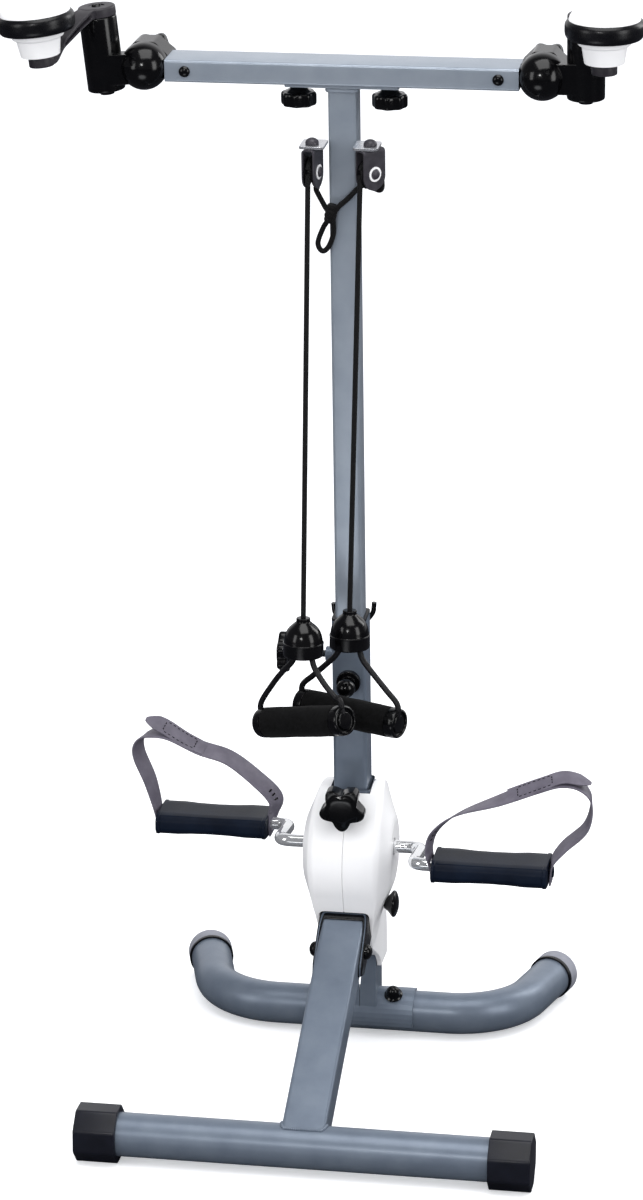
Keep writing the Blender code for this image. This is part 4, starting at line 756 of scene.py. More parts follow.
SOCKET_OUT = 47.0
KNOB_Z = 349.0
CAM_Y, CAM_Z = -20.0, 206.0
WINDOWS = [([block(SOCKET_OUT + 1.4, SOCKET_OUT + 1.4, 90)], MAST @ shift(0, 0, 345)),
           ([turn([(0, 30), (11, 30), (11, -30), (0, -30)], 48)], MAST @ shift(0, -50, KNOB_Z) @ AIM["Y"]),
           ([block(59.4, 49.6, 100, radius=7)], BEAM @ shift(0, -0.6, BEAM_REACH - 46.1)),
           ([block(41.6, 120, 60)], BASE @ shift(0, 90, 85))]
CAM_WINDOW = ([turn([(0, 30), (5.5, 30), (5.5, -30), (0, -30)], 40)],
              BASE @ shift(50, CAM_Y, CAM_Z) @ AIM["X"])
for side, word in SIDES:
    half = cut(housing_half(side, word), WINDOWS + ([CAM_WINDOW] if side > 0 else []))
    print(half.name, len(half.data.polygons), "faces")

# %% [markdown]
# # Crank and pedals
# The foot crank is one chrome-plated bar, bent cold: its corners are arcs of about twice the bar's
# thickness. The path has a point wherever the bend turns, and a circle rides along it.

# %% Foot crank
CRANK_R, CRANK_TURN = 80.0, math.radians(6.3)
ROD_R, ARM_X = 7.5, 86.0
PEDAL_IN, PEDAL_LEN = 111.0, 134.0
RISE = np.array((-CRANK_R * math.cos(CRANK_TURN), CRANK_R * math.sin(CRANK_TURN)))
CRANK = BASE @ shift(0, CRANK_Y, CRANK_Z)
tip = PEDAL_IN + PEDAL_LEN - 8
bar = [(-tip, *-RISE), (-ARM_X, *-RISE), (-ARM_X, 0, 0), (ARM_X, 0, 0), (ARM_X, *RISE), (tip, *RISE)]
bar = evenly(rounded(bar, 16, 12), 2.0)
make("foot_crank_bar", [sweep(bar, circle(ROD_R, 40))], "foot_crank", CHROME, CRANK, ["crank"])

# %% [markdown]
# A pedal is a block of blue-black polypropylene that narrows at its waist. Its section has wide flats and
# soft corners. The sections follow one another along the spindle, and the waist is a scale that changes
# from one to the next. Raised rims close both ends.

# %% Pedals
PEDAL_SECTION = rounded([(-35, 6), (-30, 12.6), (-20, 13.5), (20, 13.5), (30, 12.6), (35, 6), (35, -5),
                         (30, -11), (14, -13.5), (-14, -13.5), (-30, -11), (-35, -5)], 2.4, 4, closed=True)
RIM = 4.0
PEDAL_AT = np.array((0, 0.8, RIM, RIM + 1, 26, 44, 67, 90, 108, PEDAL_LEN - RIM - 1, PEDAL_LEN - RIM,
                     PEDAL_LEN - 0.8, PEDAL_LEN))
PEDAL_SCALE = np.array((0.95, 1, 1, 0.96, 0.965, 0.91, 0.89, 0.91, 0.965, 0.96, 1, 1, 0.95))
for side, word in SIDES:
    place = CRANK @ shift(0, *(RISE * side))
    heights = side * (PEDAL_IN + PEDAL_AT)
    lying = np.array([[0, 0, 1, 0], [1, 0, 0, 0], [0, 1, 0, 0], [0, 0, 0, 1.0]])
    points, faces, uv = loft([PEDAL_SECTION * s for s in PEDAL_SCALE], heights)
    body = (carry(lying, points), faces, uv)
    end = side * (PEDAL_IN + PEDAL_LEN)
    peg = rounded([(0, 6), (6.5, 5.2), (6.5, 3.4), (4, 3.4), (4, 0), (0, 0)], [0, 1.2, 0.4, 0, 0, 0], 4)
    peg_grid = turn(peg, 40, shift(end, 0, 0) @ AIM["X" if side > 0 else "-X"])
    make("pedal_block_" + word, [body, peg_grid], "pedal_%s_body" % word, PEDAL_PP, place,
         ["pedal_" + word], sharp=30)
    # Painted shade: two black blocks just under the top face stand for the dark insides of the slots.
    slot_x = end - side * 18
    slots = [block(6, 7, 1.6, shift(slot_x - side * x, -6 * side, 12.1), 0.5) for x in (0, 8)]
    make("pedal_slot_painted_shade_" + word, slots, "pedal_%s_body" % word, GLOSS_BLACK, place)

# %% [markdown]
# ## Straps
# A strap is a PVC band, pressed to look like leather. It hooks over a peg at each end of its pedal, and its
# free end lies on top as a pointed flap with a stitched box. A band bends easily one way and twists a
# little, so its route is a list of points in the upright plane, and each point has its own roll.

# %% Straps
STRAP_W, STRAP_T = 25.0, 2.0
STRAP_LOOP = {
    "left": [(-247.1, -13), (-247.1, 6), (-257, 45), (-271, 80), (-269, 98), (-255, 106), (-232, 106),
             (-196, 91), (-160, 80), (-126, 55), (-104, 32), (-106.5, 12), (-108.9, -2), (-108.9, -13)],
    "right": [(108.9, -13), (108.9, -2), (105, 20), (112, 42), (138, 64), (187, 84), (230, 103), (256, 111),
              (278, 107), (292, 90), (287, 58), (262, 32), (249, 14), (247.1, -2), (247.1, -13)]}
STRAP_FLAP = {"left": [(-190, 89.5), (-215, 101), (-240, 116), (-262, 124)],
              "right": [(196, 89), (235, 106), (262, 116), (292, 110)]}
STRAP_ROLL = {"left": [0, 8, 22, 24, 12, -6, -18, -24, -26, -30, -34, -20, -6, 0],
              "right": [0, 4, 12, 16, 10, -14, -24, -20, -8, 6, 16, 18, 10, 2, 0]}
FLAP_ROLL = {"left": [20, 28, 30, 24], "right": [-26, -24, -18, -8]}
STRAP_SECTION = rectangle(STRAP_T, STRAP_W, 0.7, 3)


def ribbon(points, rolls, section, start=0, stop=None, pointed=0):
    """A band along a route in the XZ plane, rolled about its own middle by an angle at each point.

    start and stop pick a stretch of it, in millimetres from its first end. A pointed one narrows to its last
    end over that many millimetres.
    """
    points = np.array([(x, 0, z) for x, z in points], float)
    both = np.column_stack([points, np.radians(rolls)])
    line = evenly(curve_through(both), 1.0)[start:stop]
    narrow = 1.0
    if pointed:
        narrow = np.sqrt(np.clip((len(line) - np.arange(len(line))) / pointed, 0.02, 1))
    return sweep(line[:, :3], section, up=(0, 1, 0), roll=line[:, 3], scale=narrow)


def stitches(points, rolls, start, stop, half):
    """A stitched box on a flap: dashes along both edges and across both ends, proud of the leather."""
    proud = STRAP_T / 2 + 0.1
    dash = rectangle(0.7, 0.9, 0.2, 2)
    marks = [ribbon(points, rolls, dash + (side * proud, edge), at, at + 4)
             for side in (-1, 1) for edge in (-half, half) for at in range(start, stop, 6)]
    edges = (-half + 3.4, 0, half - 3.4)
    return marks + [ribbon(points, rolls, dash * (1, 3) + (side * proud, edge), at, at + 2)
                    for side in (-1, 1) for edge in edges for at in (start - 2, stop - 1)]


for side, word in SIDES:
    place = CRANK @ shift(0, *(RISE * side))
    bands = [ribbon(STRAP_LOOP[word], STRAP_ROLL[word], STRAP_SECTION),
             ribbon(STRAP_FLAP[word], FLAP_ROLL[word], STRAP_SECTION * (1, 0.94), pointed=16)]
    make("strap_band_" + word, bands, "pedal_%s_body" % word, STRAP_PVC, place, ["strap_" + word])
    marks = stitches(STRAP_FLAP[word], FLAP_ROLL[word], 14, 56, 8.0)
    loop = (STRAP_LOOP[word], STRAP_ROLL[word])
    far = int(np.linalg.norm(np.diff(STRAP_LOOP[word], axis=0), axis=1).sum())
    holes = [at if side > 0 else far - at for at in (44, 50, 56)]
    marks += [ribbon(*loop, rectangle(STRAP_T + 0.5, 6, 0.5, 2), at, at + 3) for at in holes]
    make("strap_stitches_" + word, marks, "pedal_%s_body" % word, GLOSS_BLACK, place)

# %% [markdown]
# ## Tension knob
# A small knob at the right of the housing: a domed face on a skirt that flares out from its stem.

# %% Tension knob
skirt = rounded([(0, 59.5), (9, 58.4), (15.5, 55.4), (16.3, 52.5), (8.5, 46), (6, 42), (4, 42), (4, 20),
                 (0, 20)], [0, 5, 2.5, 1.5, 3, 0.5, 0, 0, 0], 5)
make("tension_knob_skirt", [turn(skirt, 96, AIM["X"])], "tension", GLOSS_BLACK,
     BASE @ shift(0, CAM_Y, CAM_Z), ["tension_knob"])

# %% [markdown]
# # Mast, sleeve and bar
# The sleeve is a 40 mm square tube and the mast a 32 mm one that slides in it. The sleeve carries a boss
# for the side knob, a collar for the pull pin and, behind, a bent hook that parks the handles. The pin drops
# into one of six holes in the mast, which show above the sleeve when the mast is drawn out.

# %% Sleeve and mast
SLEEVE_W, SLEEVE_WALL, SLEEVE_LOW, SLEEVE_TOP = 40.0, 1.8, 302.0, 559.0
MAST_W, MAST_WALL, MAST_LOW = 32.0, 1.6, 345.0
BAR_TOP, BAR_H, BAR_D, BAR_HALF, BAR_WALL = 1219.0, 25.0, 50.0, 197.0, 1.6
FLANGE_T, FLANGE_HALF, FLANGE_D = 5.0, 64.0, 40.0
SIDE_KNOB_Z, PIN_Z, PIN_R = 510.0, 485.0, 4.0
HOLE_PITCH, HOLE_COUNT = 25.0, 6
hook = [(-24, 23, 565), (-23, 23, 552), (-15, 22.6, 545), (15, 22.6, 545), (23, 23, 555), (24, 23, 568)]
boss = rounded([(0, 9.7), (9, 9.7), (9, 0), (0, 0)], [0, 1, 0, 0], 4)
collar = rounded([(4.3, 8), (9, 8), (9, 6.5), (14, 6.5), (14, 0), (4.3, 0)], [0, 0.8, 0, 1.2, 0, 0], 4)
make("mast_sleeve_tube", [square_tube(SLEEVE_W, SLEEVE_W, SLEEVE_WALL, SLEEVE_LOW, SLEEVE_TOP, 4.5),
                          turn(boss, 40, shift(-SLEEVE_W / 2, 0, SIDE_KNOB_Z) @ AIM["-X"])],
     "frame", FRAME_PAINT, MAST, ["mast_sleeve"])
make("parking_hook", [sweep(evenly(rounded(hook, 5, 8), 1.5), circle(2.9, 20))], "frame", GLOSS_BLACK, MAST)
make("pin_collar", [turn(collar, 48, shift(0, -SLEEVE_W / 2, PIN_Z) @ AIM["-Y"])], "frame", GLOSS_BLACK, MAST)

top = BAR_TOP - BAR_H - GAP
TAB_Z, TAB_OUT = 1129.5, 44.0
plate = solid(rectangle(2 * FLANGE_HALF, FLANGE_D, 4), top - 3.0, top)
mast_tube = make("mast_tube", [square_tube(MAST_W, MAST_W, MAST_WALL, MAST_LOW, top - FLANGE_T + 0.5, 4.0)],
                 "upper", LIT_FRAME_PAINT, MAST, ["mast"])
height_hole = turn([(0, 6), (PIN_R + GAP, 6), (PIN_R + GAP, -6), (0, -6)], 32)
cut(mast_tube, [([height_hole], MAST @ shift(0, -MAST_W / 2, PIN_Z - step * HOLE_PITCH) @ AIM["-Y"])
                for step in range(HOLE_COUNT)])
make("mast_flange", [plate], "upper", LIT_FRAME_PAINT, MAST, bevel=0.5)
rim = np.column_stack([rectangle(MAST_W + 1, MAST_W + 1, 4, 6), np.full(28, top - FLANGE_T - 1.0)])
weld = sweep(evenly(np.concatenate([rim, rim[:1]]), 0.8), circle(2.6, 10), capped=False)
make("mast_weld", [weld], "upper", LIT_FRAME_PAINT, MAST)
tabs = []
for side, word in SIDES:
    wide = TAB_OUT - MAST_W / 2
    tabs.append(block(wide, 34, 3.0, shift(side * (TAB_OUT + MAST_W / 2) / 2, -30, TAB_Z), 4))
make("pulley_tabs", tabs, "upper", ZINC, MAST, bevel=0.4)

# %% [markdown]
# The cross bar is a rectangular tube that lies flat. It is drawn upright and then laid along X. A domed
# screw near each end holds the plug of the arm's joint.

# %% Cross bar
make("cross_bar_tube", [square_tube(BAR_H, BAR_D, BAR_WALL, -BAR_HALF, BAR_HALF, 3.2)], "upper", LIT_FRAME_PAINT,
     MAST @ shift(0, 0, BAR_TOP - BAR_H / 2) @ AIM["X"], ["cross_bar"])
screw = rounded([(0, 4.2), (4, 3.6), (6.3, 1.2), (6.3, 0), (3, 0), (3, -8), (0, -8)],
                [0, 2, 1, 0, 0, 0, 0], 5)
for side, word in SIDES:
    make("bar_screw_head_" + word, [turn(screw, 40)], "upper", GLOSS_BLACK,
         MAST @ shift(side * 174.5, -BAR_D / 2 - GAP, BAR_TOP - BAR_H / 2) @ AIM["-Y"], ["bar_screw_" + word])

# %% [markdown]
# ## Hand knobs
# All the hand knobs are turned shapes whose rim swells into lobes. The swelling is a cosine of the angle
# times the number of lobes, raised to give round lobes and narrow valleys, and it fades towards the middle
# of the face. Only the radius, the number of lobes and the profile change from knob to knob.

# %% Lobed knobs


def lobes(count, depth, roundness=1.0):
    """Swells a knob's rim: 1 on a lobe and 1 - depth in a valley, faded towards the axis."""
    def factor(angle, profile):
        wave = (0.5 + 0.5 * np.cos(count * angle)) ** roundness
        fade = np.clip(profile[:, :1] / profile[:, 0].max(), 0, 1) ** 3
        return 1 - depth * fade * (1 - wave)
    return factor


def knob(name, node, body, place, radius, thick, count, depth, stem, face=0.0, neck=8.0, material=GLOSS_BLACK,
         roundness=1.0):
    """A lobed knob with its clamping side at -Z: face is how far its middle stands out or sinks in."""
    h = thick / 2
    line = [(0, h + face), (radius * 0.55, h + face * 0.8), (radius * 0.78, h), (radius, h), (radius, -h),
            (neck + 5, -h), (neck, -h - 6), (4, -h - 6), (4, -h - stem), (0, -h - stem)]
    line = rounded(line, [0, 4, 3, min(4, h * 0.6), min(4, h * 0.6), 3, 1, 0, 0, 0], 6)
    return make(name, [turn(line, 150, factor=lobes(count, depth, roundness))], body, material, place, [node],
                sharp=50)


knob("star_knob_front", "front_star_knob", "front_knob",
     MAST @ shift(0, -76, KNOB_Z) @ AIM["-Y"] @ spin("Z", -90), 27.5, 20, 5, 0.34, 40,
     face=3.0, roundness=0.75)
knob("star_knob_side", "side_star_knob", "side_knob", MAST @ shift(-79, 0, SIDE_KNOB_Z) @ AIM["-X"],
     25, 12, 6, 0.2, 42, face=2.0)
for side, word in SIDES:
    low = BAR_TOP - BAR_H - GAP - FLANGE_T - 7
    knob("bar_knob_grip_" + word, "bar_knob_" + word, "bar_knob_%s_body" % word,
         MAST @ shift(side * 51, 0, low - 7.5) @ AIM["-Z"], 20, 15, 8, 0.1, 18, face=0.5)

ball = [(11 * math.sin(a), 22 + 11 * math.cos(a)) for a in np.radians(np.linspace(0, 152, 20))]
make("pull_pin_ball", [turn([*ball, (5.2, 12.6), (4, 12.2), (4, -3.6), (0, -3.6)], 56)], "pin", GLOSS_BLACK,
     MAST @ shift(0, -SLEEVE_W / 2, PIN_Z) @ AIM["-Y"], ["pull_pin"])

# %% [markdown]
# # Arms and hand cranks
# A joint fills each end of the bar: a plug inside the tube, and a drum across it. The arm's own half of the
# joint is a dome with a short neck to an upright bearing tube. The left arm leans outwards by 5.5 degrees.

# %% Arm joints
JOINT_X, JOINT_Z, TUBE_OUT = 222.0, 1209.0, 47.0
TILT = {"left": -5.5, "right": 0.0}
HEADING = {"left": 245.0, "right": 286.4}
EAR_Y = -7.3
BALL_R, BALL_UP = 26.5, 7.0
a = np.linspace(0, math.pi / 2, 14)
ball_line = np.column_stack([BALL_R * np.sin(a), BALL_UP + BALL_R * np.cos(a), np.zeros(14)])
ball_line = np.concatenate([ball_line, [(26.5, 0.8, 0), (25.7, 0, 0), (0, 0, 0)]])
drum = [(0, 30, 0), (23, 30, 1), (25.6, 27.5, 1), (25.6, -6, 1), (24.8, -7, 1), (0, -7, 0)]
TUBE_TOP = 59.0
bearing = rounded([(0, TUBE_TOP), (21, TUBE_TOP), (21, -25), (8, -25), (8, -30), (0, -30)],
                  [0, 2, 2.5, 0.5, 1, 0], 4)
for side, word in SIDES:
    swing = MAST @ shift(side * JOINT_X, 0, JOINT_Z) @ spin("Y", TILT[word])
    bar_mid = BAR_TOP - BAR_H / 2
    plug = block(47, 46.2, 21.2, shift(side * 173.5, 0, bar_mid), 1)
    shoulder = block(28, 30, 21.2, shift(side * 203, 8, bar_mid), 2)
    barrel = turn(drum, 96, shift(side * JOINT_X, 0, JOINT_Z) @ AIM["Y"], eight_sided)
    make("joint_" + word, [plug, shoulder, barrel], "upper", GLOSS_BLACK, MAST, ["arm_joint_" + word],
         bevel=1.2)
    neck = block(39, 19.4, 34, shift(side * 27.5, EAR_Y - 10, 0), 3)
    ball = turn(ball_line, 96, shift(0, EAR_Y, 0) @ AIM["-Y"], eight_sided)
    tube = turn(bearing, 64, shift(side * TUBE_OUT, -8, 0))
    make("bearing_" + word, [ball, neck, tube], "arm_" + word, GLOSS_BLACK, swing,
         ["bearing_tube_" + word], bevel=0.8)
    knob("tilt_knob_grip_" + word, "tilt_knob_" + word, "tilt_knob_%s_body" % word,
         swing @ shift(0, 42.6, 0) @ AIM["Y"], 25, 12, 6, 0.2, 45, face=1.5)

# %% [markdown]
# A hand crank is one nylon moulding. Its blade is an I-section: two flanges and a thin web, which stiffens
# it and saves material. The blade leaves the hub level and then drops to the grip. Its upper and lower
# edges are two lines; at each step along the crank the section stretches between them, and the web's width
# shrinks where the pocket is.

# %% Hand cranks
HAND_R, BLADE_HALF = 106.0, 12.0
UPPER = rounded([(-4, 10.6), (24, 10.6), (46, 4), (76, -9), (84, -19), (112, -19)], [0, 8, 10, 7, 5, 0], 8)
LOWER = rounded([(-4, 0.7), (22.5, 0.7), (40, -4), (71, -15), (79, -18), (93, -30), (112, -30)],
                [0, 5, 8, 5, 5, 5, 0], 8)


def i_section(x):
    """Twelve corners of the blade's section at each x, round the web."""
    top, low = np.interp(x, *UPPER.T), np.interp(x, *LOWER.T)
    pocket = np.clip((x - 25) / 3, 0, 1) * np.clip((76 - x) / 3, 0, 1)
    flange = np.minimum(2.6, (top - low) / 3.2)
    web = BLADE_HALF - 4.5 * pocket
    wide, r = np.full_like(x, BLADE_HALF), 0.8
    half = [(wide - r, top), (wide, top - r), (wide, top - flange), (web, top - flange - 0.6),
            (web, low + flange + 0.6), (wide, low + flange), (wide, low + r), (wide - r, low)]
    ring = half + [(-a, b) for a, b in reversed(half)]
    return np.stack([np.stack([x, a, b], 1) for a, b in ring], 1)


xs = np.linspace(-4, 112, 130)
rows = i_section(xs)
blade = grid(np.concatenate([np.repeat(rows[:1].mean(1, keepdims=True), 16, 1), rows,
                             np.repeat(rows[-1:].mean(1, keepdims=True), 16, 1)]))
hub = rounded([(0, 8.4), (9, 8.4), (9, 11), (19.5, 11), (21, 9.5), (21, 0.3), (8, 0.3), (8, -41), (0, -41)],
              [0, 0.5, 0.6, 1, 1, 0.6, 0, 0, 0], 4)
disc = rounded([(0, -18.7), (14, -18.7), (14, -30.3), (0, -30.3)], [0, 1.5, 1.5, 0], 4)
spindle = [(0, 28), (5, 28), (5, -20), (0, -20)]
a = np.linspace(0, math.pi / 2, 22)
cap_line = np.column_stack([38.6 * np.sin(a), 7.8 + 22.2 * np.cos(a) ** 1.05])
stalk = rounded([(34, 7.8), (34, -7.8), (38, -8.4), (29.5, -13), (28.5, -17.5), (24.5, -19), (23.8, -24),
                 (21.5, -38), (5.3, -38), (5.3, 16), (0, 16)], [0, 0, 0.8, 3, 1.5, 1.5, 2, 0.8, 0, 0, 0], 6)
ring_line = rounded([(34.3, 8.4), (38.6, 9.6), (42.7, 6), (42.7, -6.5), (39.4, -11), (34.3, -10),
                     (34.3, 8.4)], [0, 1.2, 4, 4, 1.5, 0, 0], 6)
GRIP_LIFT = 19.8
for side, word in SIDES:
    swing = MAST @ shift(side * JOINT_X, 0, JOINT_Z) @ spin("Y", TILT[word])
    crank_at = swing @ shift(side * TUBE_OUT, -8, TUBE_TOP) @ spin("Z", HEADING[word])
    end = shift(HAND_R, 0, 0)
    body = "hand_crank_%s_body" % word
    make("hand_crank_arm_" + word, [turn(hub, 72), blade, turn(disc, 56, end), turn(spindle, 24, end)], body,
         CRANK_NYLON, crank_at, ["hand_crank_" + word], sharp=30)
    bolt = cap_nut(8.4, tall=4.5, wide=6.4, across=4.6)
    make("hand_crank_bolt_" + word, [bolt], body, GLOSS_BLACK, crank_at, sharp=25)
    grip_at = crank_at @ end @ shift(0, 0, GRIP_LIFT)
    make("grip_cap_" + word, [turn(np.concatenate([cap_line, stalk]), 96)], "grip_%s_body" % word,
         WHITE_ABS, grip_at, ["grip_" + word])
    make("grip_tyre_" + word, [turn(ring_line, 96)], "grip_%s_body" % word, RING_RUBBER, grip_at,
         ["grip_ring_" + word])

# %% [markdown]
# # Pulleys, rope and handles
# A yoke is a strip of steel bent over a wheel: the strip follows a path of two bends, and its width narrows
# to a half circle at both ends.

# %% Pulleys
PULLEY_AT = {"left": (-31.0, -10.0), "right": (34.0, -40.0)}
PULLEY_Y, PULLEY_Z, ROPE_R, GROOVE_MID = -34.0, 1100.0, 3.0, 15.0
YOKE_HALF, CHEEK_ROUND = 6.5, 15.5
bent = [(-YOKE_HALF, 0, -19), (-YOKE_HALF, 0, 26.7), (YOKE_HALF, 0, 26.7), (YOKE_HALF, 0, -19)]
bent = evenly(rounded(bent, 3.5, 6), 0.8)
drop = np.clip((-3 - bent[:, 2]) / CHEEK_ROUND, 0, 0.99)
half_width = CHEEK_ROUND * np.sqrt(1 - drop ** 2)
strip_section = np.stack([np.stack([np.full_like(half_width, x), y * half_width], 1)
                          for x, y in ((1, 1), (-1, 1), (-1, -1), (1, -1))], 1)
axle_end = [(0, 4), (3, 3.8), (5, 2.6), (6, 0.8), (6, -0.3), (3, -0.3), (3, -8), (0, -8)]
groove = [(GROOVE_MID - 3.3 * math.cos(a), 3.3 * math.sin(a)) for a in np.radians(np.linspace(84, -84, 15))]
wheel_line = [(3.3, 4.5), (16.4, 4.5), (17, 4.1), *groove, (17, -4.1), (16.4, -4.5), (3.3, -4.5), (3.3, 4.5)]
washer = [(5.6, 0.8), (8.4, 0.8), (8.4, 0.02), (5.6, 0.02), (5.6, 0.8)]
for side, word in SIDES:
    x, heading = PULLEY_AT[word]
    pulley = MAST @ shift(x, PULLEY_Y, PULLEY_Z) @ spin("Z", heading)
    cheeks = [shift(s * 7.5, 0, 0) @ AIM[aim] for s, aim in ((1, "X"), (-1, "-X"))]
    yoke = [sweep(bent, strip_section, up=(0, 1, 0)), *[turn(axle_end, 40, cheek) for cheek in cheeks],
            dome(7.5, 7, 31.3), turn([(0, 32), (3, 32), (3, 27), (0, 27)], 24)]
    make("yoke_strip_" + word, yoke, "upper", BLACK_OXIDE, pulley, ["pulley_yoke_" + word],
         bevel=0.3)
    # Painted highlight: the zinc washers get white plastic, which stands for the lamp that they reflect.
    make("yoke_washer_painted_glint_" + word, [turn(washer, 48, cheek) for cheek in cheeks], "upper", WHITE_ABS, pulley)
    make("rope_wheel_" + word, [turn(wheel_line, 72, AIM["X"])], "wheel_%s_body" % word, SATIN_BLACK, pulley,
         ["pulley_wheel_" + word])

# %% [markdown]
# ## The rope
# One rope runs over both wheels. Its middle hangs down the front of the mast, where a knot gathers it into
# a loop. The route is the imported model's: round each wheel, down to the knot, and from the front of each
# wheel straight to a handle.

# %% Rope


def wheel_point(word, degrees, lift=0.0):
    """A point of the rope round a wheel, in the base frame: 0 is the front tangent and 90 the top."""
    x, heading = PULLEY_AT[word]
    a, t = math.radians(degrees), math.radians(heading)
    reach = GROOVE_MID * math.cos(a)
    height = PULLEY_Z + GROOVE_MID * math.sin(a) + lift
    point = (x + reach * math.sin(t), PULLEY_Y - reach * math.cos(t), height)
    return carry(np.linalg.inv(BASE) @ MAST, [point])[0]


def rope(name, points, body, node, smooth=True):
    """A stretch of rope along points in the base frame."""
    line = curve_through(points, 10) if smooth else np.array(points, float)
    line = evenly(line, 1.5)
    piece = make(name, [sweep(line, circle(ROPE_R, 20))], body, ROPE, BASE, [node])


HANDLE_AT = {"left": (-36.0, -129.0, 587.0, -35.0, 14.0), "right": (10.5, -87.0, 586.0, -25.0, 0.0)}
WRAP = list(range(20, 181, 20))
hang = [(-30, -19, 1075), (-20, -20, 1056), (-14, -23, 1046), (-22, -20, 1032), (-28.5, -20, 1014),
        (-24, -20, 1004.5), (-17, -20, 1009), (-11, -20, 1025), (-9, -24, 1050), (6, -21, 1066),
        (24, -20, 1082)]
hang = carry(np.linalg.inv(BASE) @ MAST, hang)
DROP = 1.3 * 17.0
middle = [wheel_point("left", a) for a in WRAP] + [wheel_point("left", 180, -DROP), *hang,
                                                   wheel_point("right", 180, -DROP)]
middle += [wheel_point("right", a) for a in reversed(WRAP)]
rope("rope_middle", middle, "upper", "cord_middle")
for side, word in SIDES:
    x, y, z = HANDLE_AT[word][:3]
    rope("rope_" + word, [wheel_point(word, 0), (x, y, z + GAP)], "pull_" + word, "cord_" + word,
         smooth=False)
turns = np.linspace(-10.5, 10.5, 60)
barrel = np.column_stack([6.4 + 0.7 * np.abs(np.sin(turns * math.pi / 5.2)) - 0.012 * turns ** 2, turns])
knot = turn([(0, -11), *barrel, (0, 11)], 32)
make("rope_knot", [knot], "upper", ROPE, MAST @ shift(-13.0, -22.5, 1049) @ spin("Y", 12))

# %% [markdown]
# ## Handles
# The rope ends in a bell. It is turned: a collar, a shoulder and a skirt with one raised line. A cord spreads
# from under the bell to the ends of the foam grip, whose skin is never quite even, so its radius wanders by
# a few tenths of a millimetre.

# %% Handles
bell = rounded([(3.2, 0), (8, 0), (8, -4.5), (10.5, -6.5), (17.5, -12.5), (21.3, -20.5), (22.4, -28.6),
                (23.4, -29), (23.4, -30.2), (23, -30.8), (23.2, -43.2), (22, -44.7), (16, -45), (0, -45)],
               [0, 1, 1, 2, 5, 5, 0.3, 0.3, 0.3, 0.3, 1, 0.6, 0, 0], 6)
bell = np.concatenate([[(0, 0)], bell])
FOAM_HALF, FOAM_R, HANG, CORD_OUT = 57.5, 18.0, 124.0, 66.0
end_line = rounded([(0, 70), (9.6, 69.2), (11, 66.5), (12.8, 66.5), (14, 70), (16.8, 69), (17.6, 65),
                    (17.6, 57.8), (0, 57.8)], [0, 1, 0.8, 0.8, 1, 1.5, 2, 0.5, 0], 5)


def uneven(angle, profile):
    """Foam's radius: soft waves of a few tenths of a millimetre along the grip and round it."""
    z = profile[:, 1:2]
    wave = np.sin(z / 9.0 + 2 * angle) + 0.7 * np.sin(z / 4.3 - 3 * angle + 1.1)
    wave = wave + 0.5 * np.sin(5 * angle + z / 14)
    return 1 + 0.006 * wave * (profile[:, :1] > 12)


foam_z = np.linspace(-FOAM_HALF + 2.5, FOAM_HALF - 2.5, 60)
foam_line = [(9.3, -FOAM_HALF), (16.2, -FOAM_HALF), (17.4, -FOAM_HALF + 0.8),
             *[(FOAM_R - 0.2, z) for z in foam_z],
             (17.4, FOAM_HALF - 0.8), (16.2, FOAM_HALF), (9.3, FOAM_HALF), (9.3, -FOAM_HALF)]


def cord_arm(side, roll):
    """One arm of a handle's cord, from inside an end cap up to the bell, in the handle's own frame."""
    end = carry(shift(0, 0, -HANG) @ spin("Y", -roll), [(side * CORD_OUT, 0, 4), (side * CORD_OUT, 0, 22)])
    rise = (end[1, 2] + HANG) * 0.25
    rest = [(side * 51, 0, rise - 93), (side * 34, 0, -72), (side * 18, 0, -56), (side * 12.5, 0, -42)]
    return evenly(curve_through([*end, *rest], 12), 1.5)


for side, word in SIDES:
    x, y, z, heading, roll = HANDLE_AT[word]
    handle = BASE @ shift(x, y, z) @ spin("Z", heading)
    body = "pull_" + word
    make("bell_" + word, [turn(bell, 96)], body, GLOSS_BLACK, handle, ["handle_bell_" + word],
         sharp=50)
    grip_line = handle @ shift(0, 0, -HANG) @ spin("Y", -roll)
    make("handle_cord_" + word, [sweep(cord_arm(s, roll), circle(3.4, 24)) for s in (1, -1)], body,
         SATIN_BLACK, handle, ["handle_yoke_" + word])
    core = [turn([(0, 58), (8.9, 58), (8.9, -58), (0, -58)], 40, AIM["X"]), turn(end_line, 64, AIM["X"]),
            turn(end_line, 64, AIM["-X"])]
    make("handle_ends_" + word, core, body, GLOSS_BLACK, grip_line)
    foam = make("foam_" + word, [turn(foam_line, 72, AIM["X"], uneven)], body, FOAM, grip_line,
                ["foam_grip_" + word])

# %% [markdown]
# # The studio
# The photograph is a cut-out on white, with soft contact shadows. The floor is matt white, and for the
# camera alone it glows a little, so it clips to white wherever nothing stands on it, while a shadow still
# shows. The camera looks down so far that the floor fills the whole view.

# %% Floor
floor_mesh = bpy.data.meshes.new("floor")
floor_mesh.from_pydata([(-30, -10, 0), (30, -10, 0), (30, 60, 0), (-30, 60, 0)], [], [(0, 1, 2, 3)])
floor = bpy.data.objects.new("floor", floor_mesh)
SCENE.collection.objects.link(floor)
paper = bpy.data.materials.new("white_paper_sweep")
paper.use_nodes = True
tree = paper.node_tree
tree.nodes.clear()
eye = add(tree, "LightPath").outputs["Is Camera Ray"]
mirrored = add(tree, "LightPath").outputs["Is Glossy Ray"]
spot = add(tree, "TexCoord").outputs["Object"]
far = add(tree, "VectorMath", {0: spot, 1: (-0.22, -1.25, 0)}, operation="DISTANCE")
card = add(tree, "MapRange", {"Value": far.outputs["Value"], "From Min": 0.3, "From Max": 0.55,
                              "To Min": 1.0, "To Max": 0.0})
card_seen = add(tree, "Math", {0: card.outputs["Result"], 1: mirrored}, operation="MULTIPLY")
room_tone = add(tree, "Mix", {"Factor": mirrored, "A": linear("a0a0a2"), "B": linear("3c3d42")},
                data_type="RGBA")
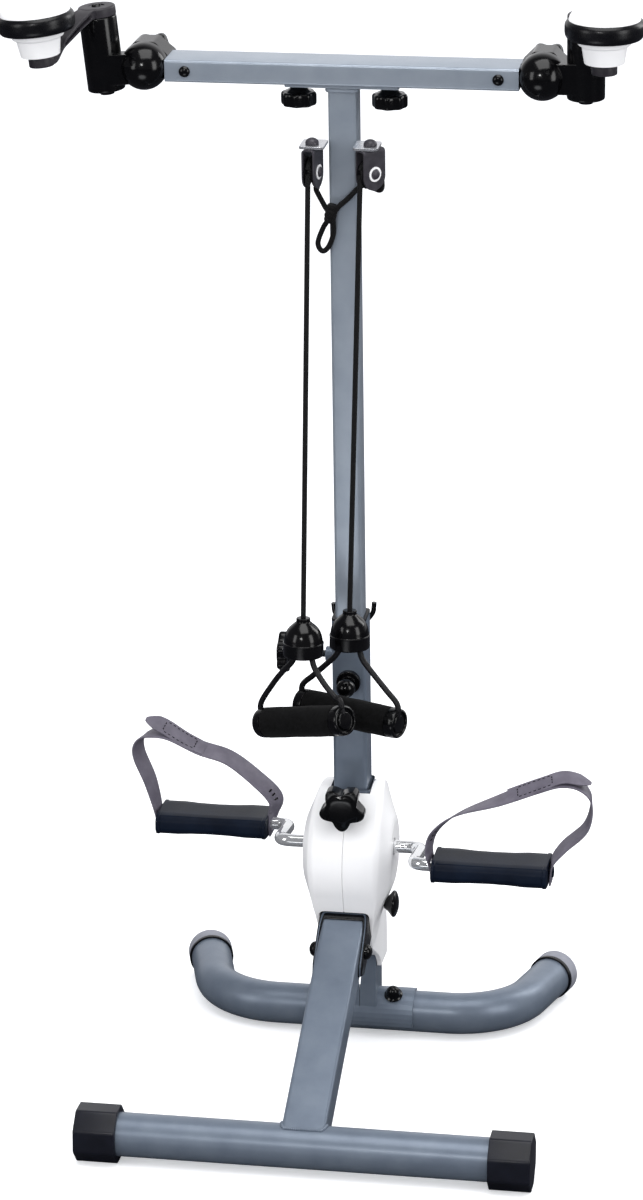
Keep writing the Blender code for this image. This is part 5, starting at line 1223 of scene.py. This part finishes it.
sweep_tone = add(tree, "Mix", {"Factor": eye, "A": room_tone.outputs["Result"], "B": linear("f2f2f2")},
                 data_type="RGBA")
glow = add(tree, "Math", {0: eye, 1: 0.36}, operation="MULTIPLY")
glow = add(tree, "Math", {0: card_seen.outputs["Value"], 1: 2.2, 2: glow.outputs["Value"]},
           operation="MULTIPLY_ADD")
shine = add(tree, "Emission", {"Color": (0.95, 0.97, 1, 1), "Strength": glow.outputs["Value"]})
matt = add(tree, "BsdfDiffuse", {"Color": sweep_tone.outputs["Result"]})
both = add(tree, "AddShader", {0: matt.outputs["BSDF"], 1: shine.outputs["Emission"]})
add(tree, "OutputMaterial", {"Surface": both.outputs["Shader"]})
floor_mesh.materials.append(paper)

# %% [markdown]
# ## Lights
# Matt surfaces are lit by a pale room. Gloss and chrome need edges to mirror, so for reflections alone the
# room is dark before the machine and bright behind it. Softboxes stand where the highlights of the
# photograph say: one above, one at either side of the camera, one behind the mast at the right, and a small
# one near the camera.

# %% World and softboxes
world = bpy.data.worlds.new("studio")
SCENE.world = world
world.use_nodes = True
tree = world.node_tree
tree.nodes.clear()
path = add(tree, "LightPath")
aim = add(tree, "TexCoord").outputs["Generated"]
away = add(tree, "SeparateXYZ", {"Vector": aim}).outputs["Y"]
bands = add(tree, "ValToRGB", {"Fac": away})
ramp = bands.color_ramp
ramp.elements[0].position, ramp.elements[0].color = 0.35, (0.11, 0.11, 0.12, 1)
ramp.elements[1].position, ramp.elements[1].color = 0.85, (0.95, 0.95, 0.97, 1)
room = {"Factor": path.outputs["Is Glossy Ray"], "A": (0.98, 0.99, 1.02, 1), "B": bands.outputs["Color"]}
mixed = add(tree, "Mix", room, data_type="RGBA")
room_light = add(tree, "Background", {"Color": mixed.outputs["Result"], "Strength": 1.0})
add(tree, "OutputWorld", {"Surface": room_light.outputs["Background"]})


def softbox(name, at, look, width, height, watts):
    """A rectangular lamp at a point, turned to face another, in metres."""
    data = bpy.data.lights.new(name, "AREA")
    data.shape, data.size, data.size_y, data.energy = "RECTANGLE", width, height, watts
    lamp = bpy.data.objects.new(name, data)
    away = np.array(at, float) - look
    away /= np.linalg.norm(away)
    lamp.location = at
    lamp.rotation_euler = (math.acos(away[2]), 0, math.atan2(away[0], -away[1]))
    SCENE.collection.objects.link(lamp)
    return lamp


MIDDLE = (0, 0, 0.7)
softbox("softbox_top", (0.3, -0.8, 3.6), MIDDLE, 2.4, 2.4, 55)
softbox("softbox_left", (-2.6, -2.6, 1.7), MIDDLE, 1.1, 2.2, 22)
softbox("softbox_right", (2.9, -1.6, 1.6), MIDDLE, 1.2, 2.2, 30)
softbox("softbox_back", (2.2, 1.8, 2.2), MIDDLE, 1.0, 1.8, 22)
softbox("softbox_front", (-0.3, -4.3, 2.3), MIDDLE, 0.6, 0.4, 26)
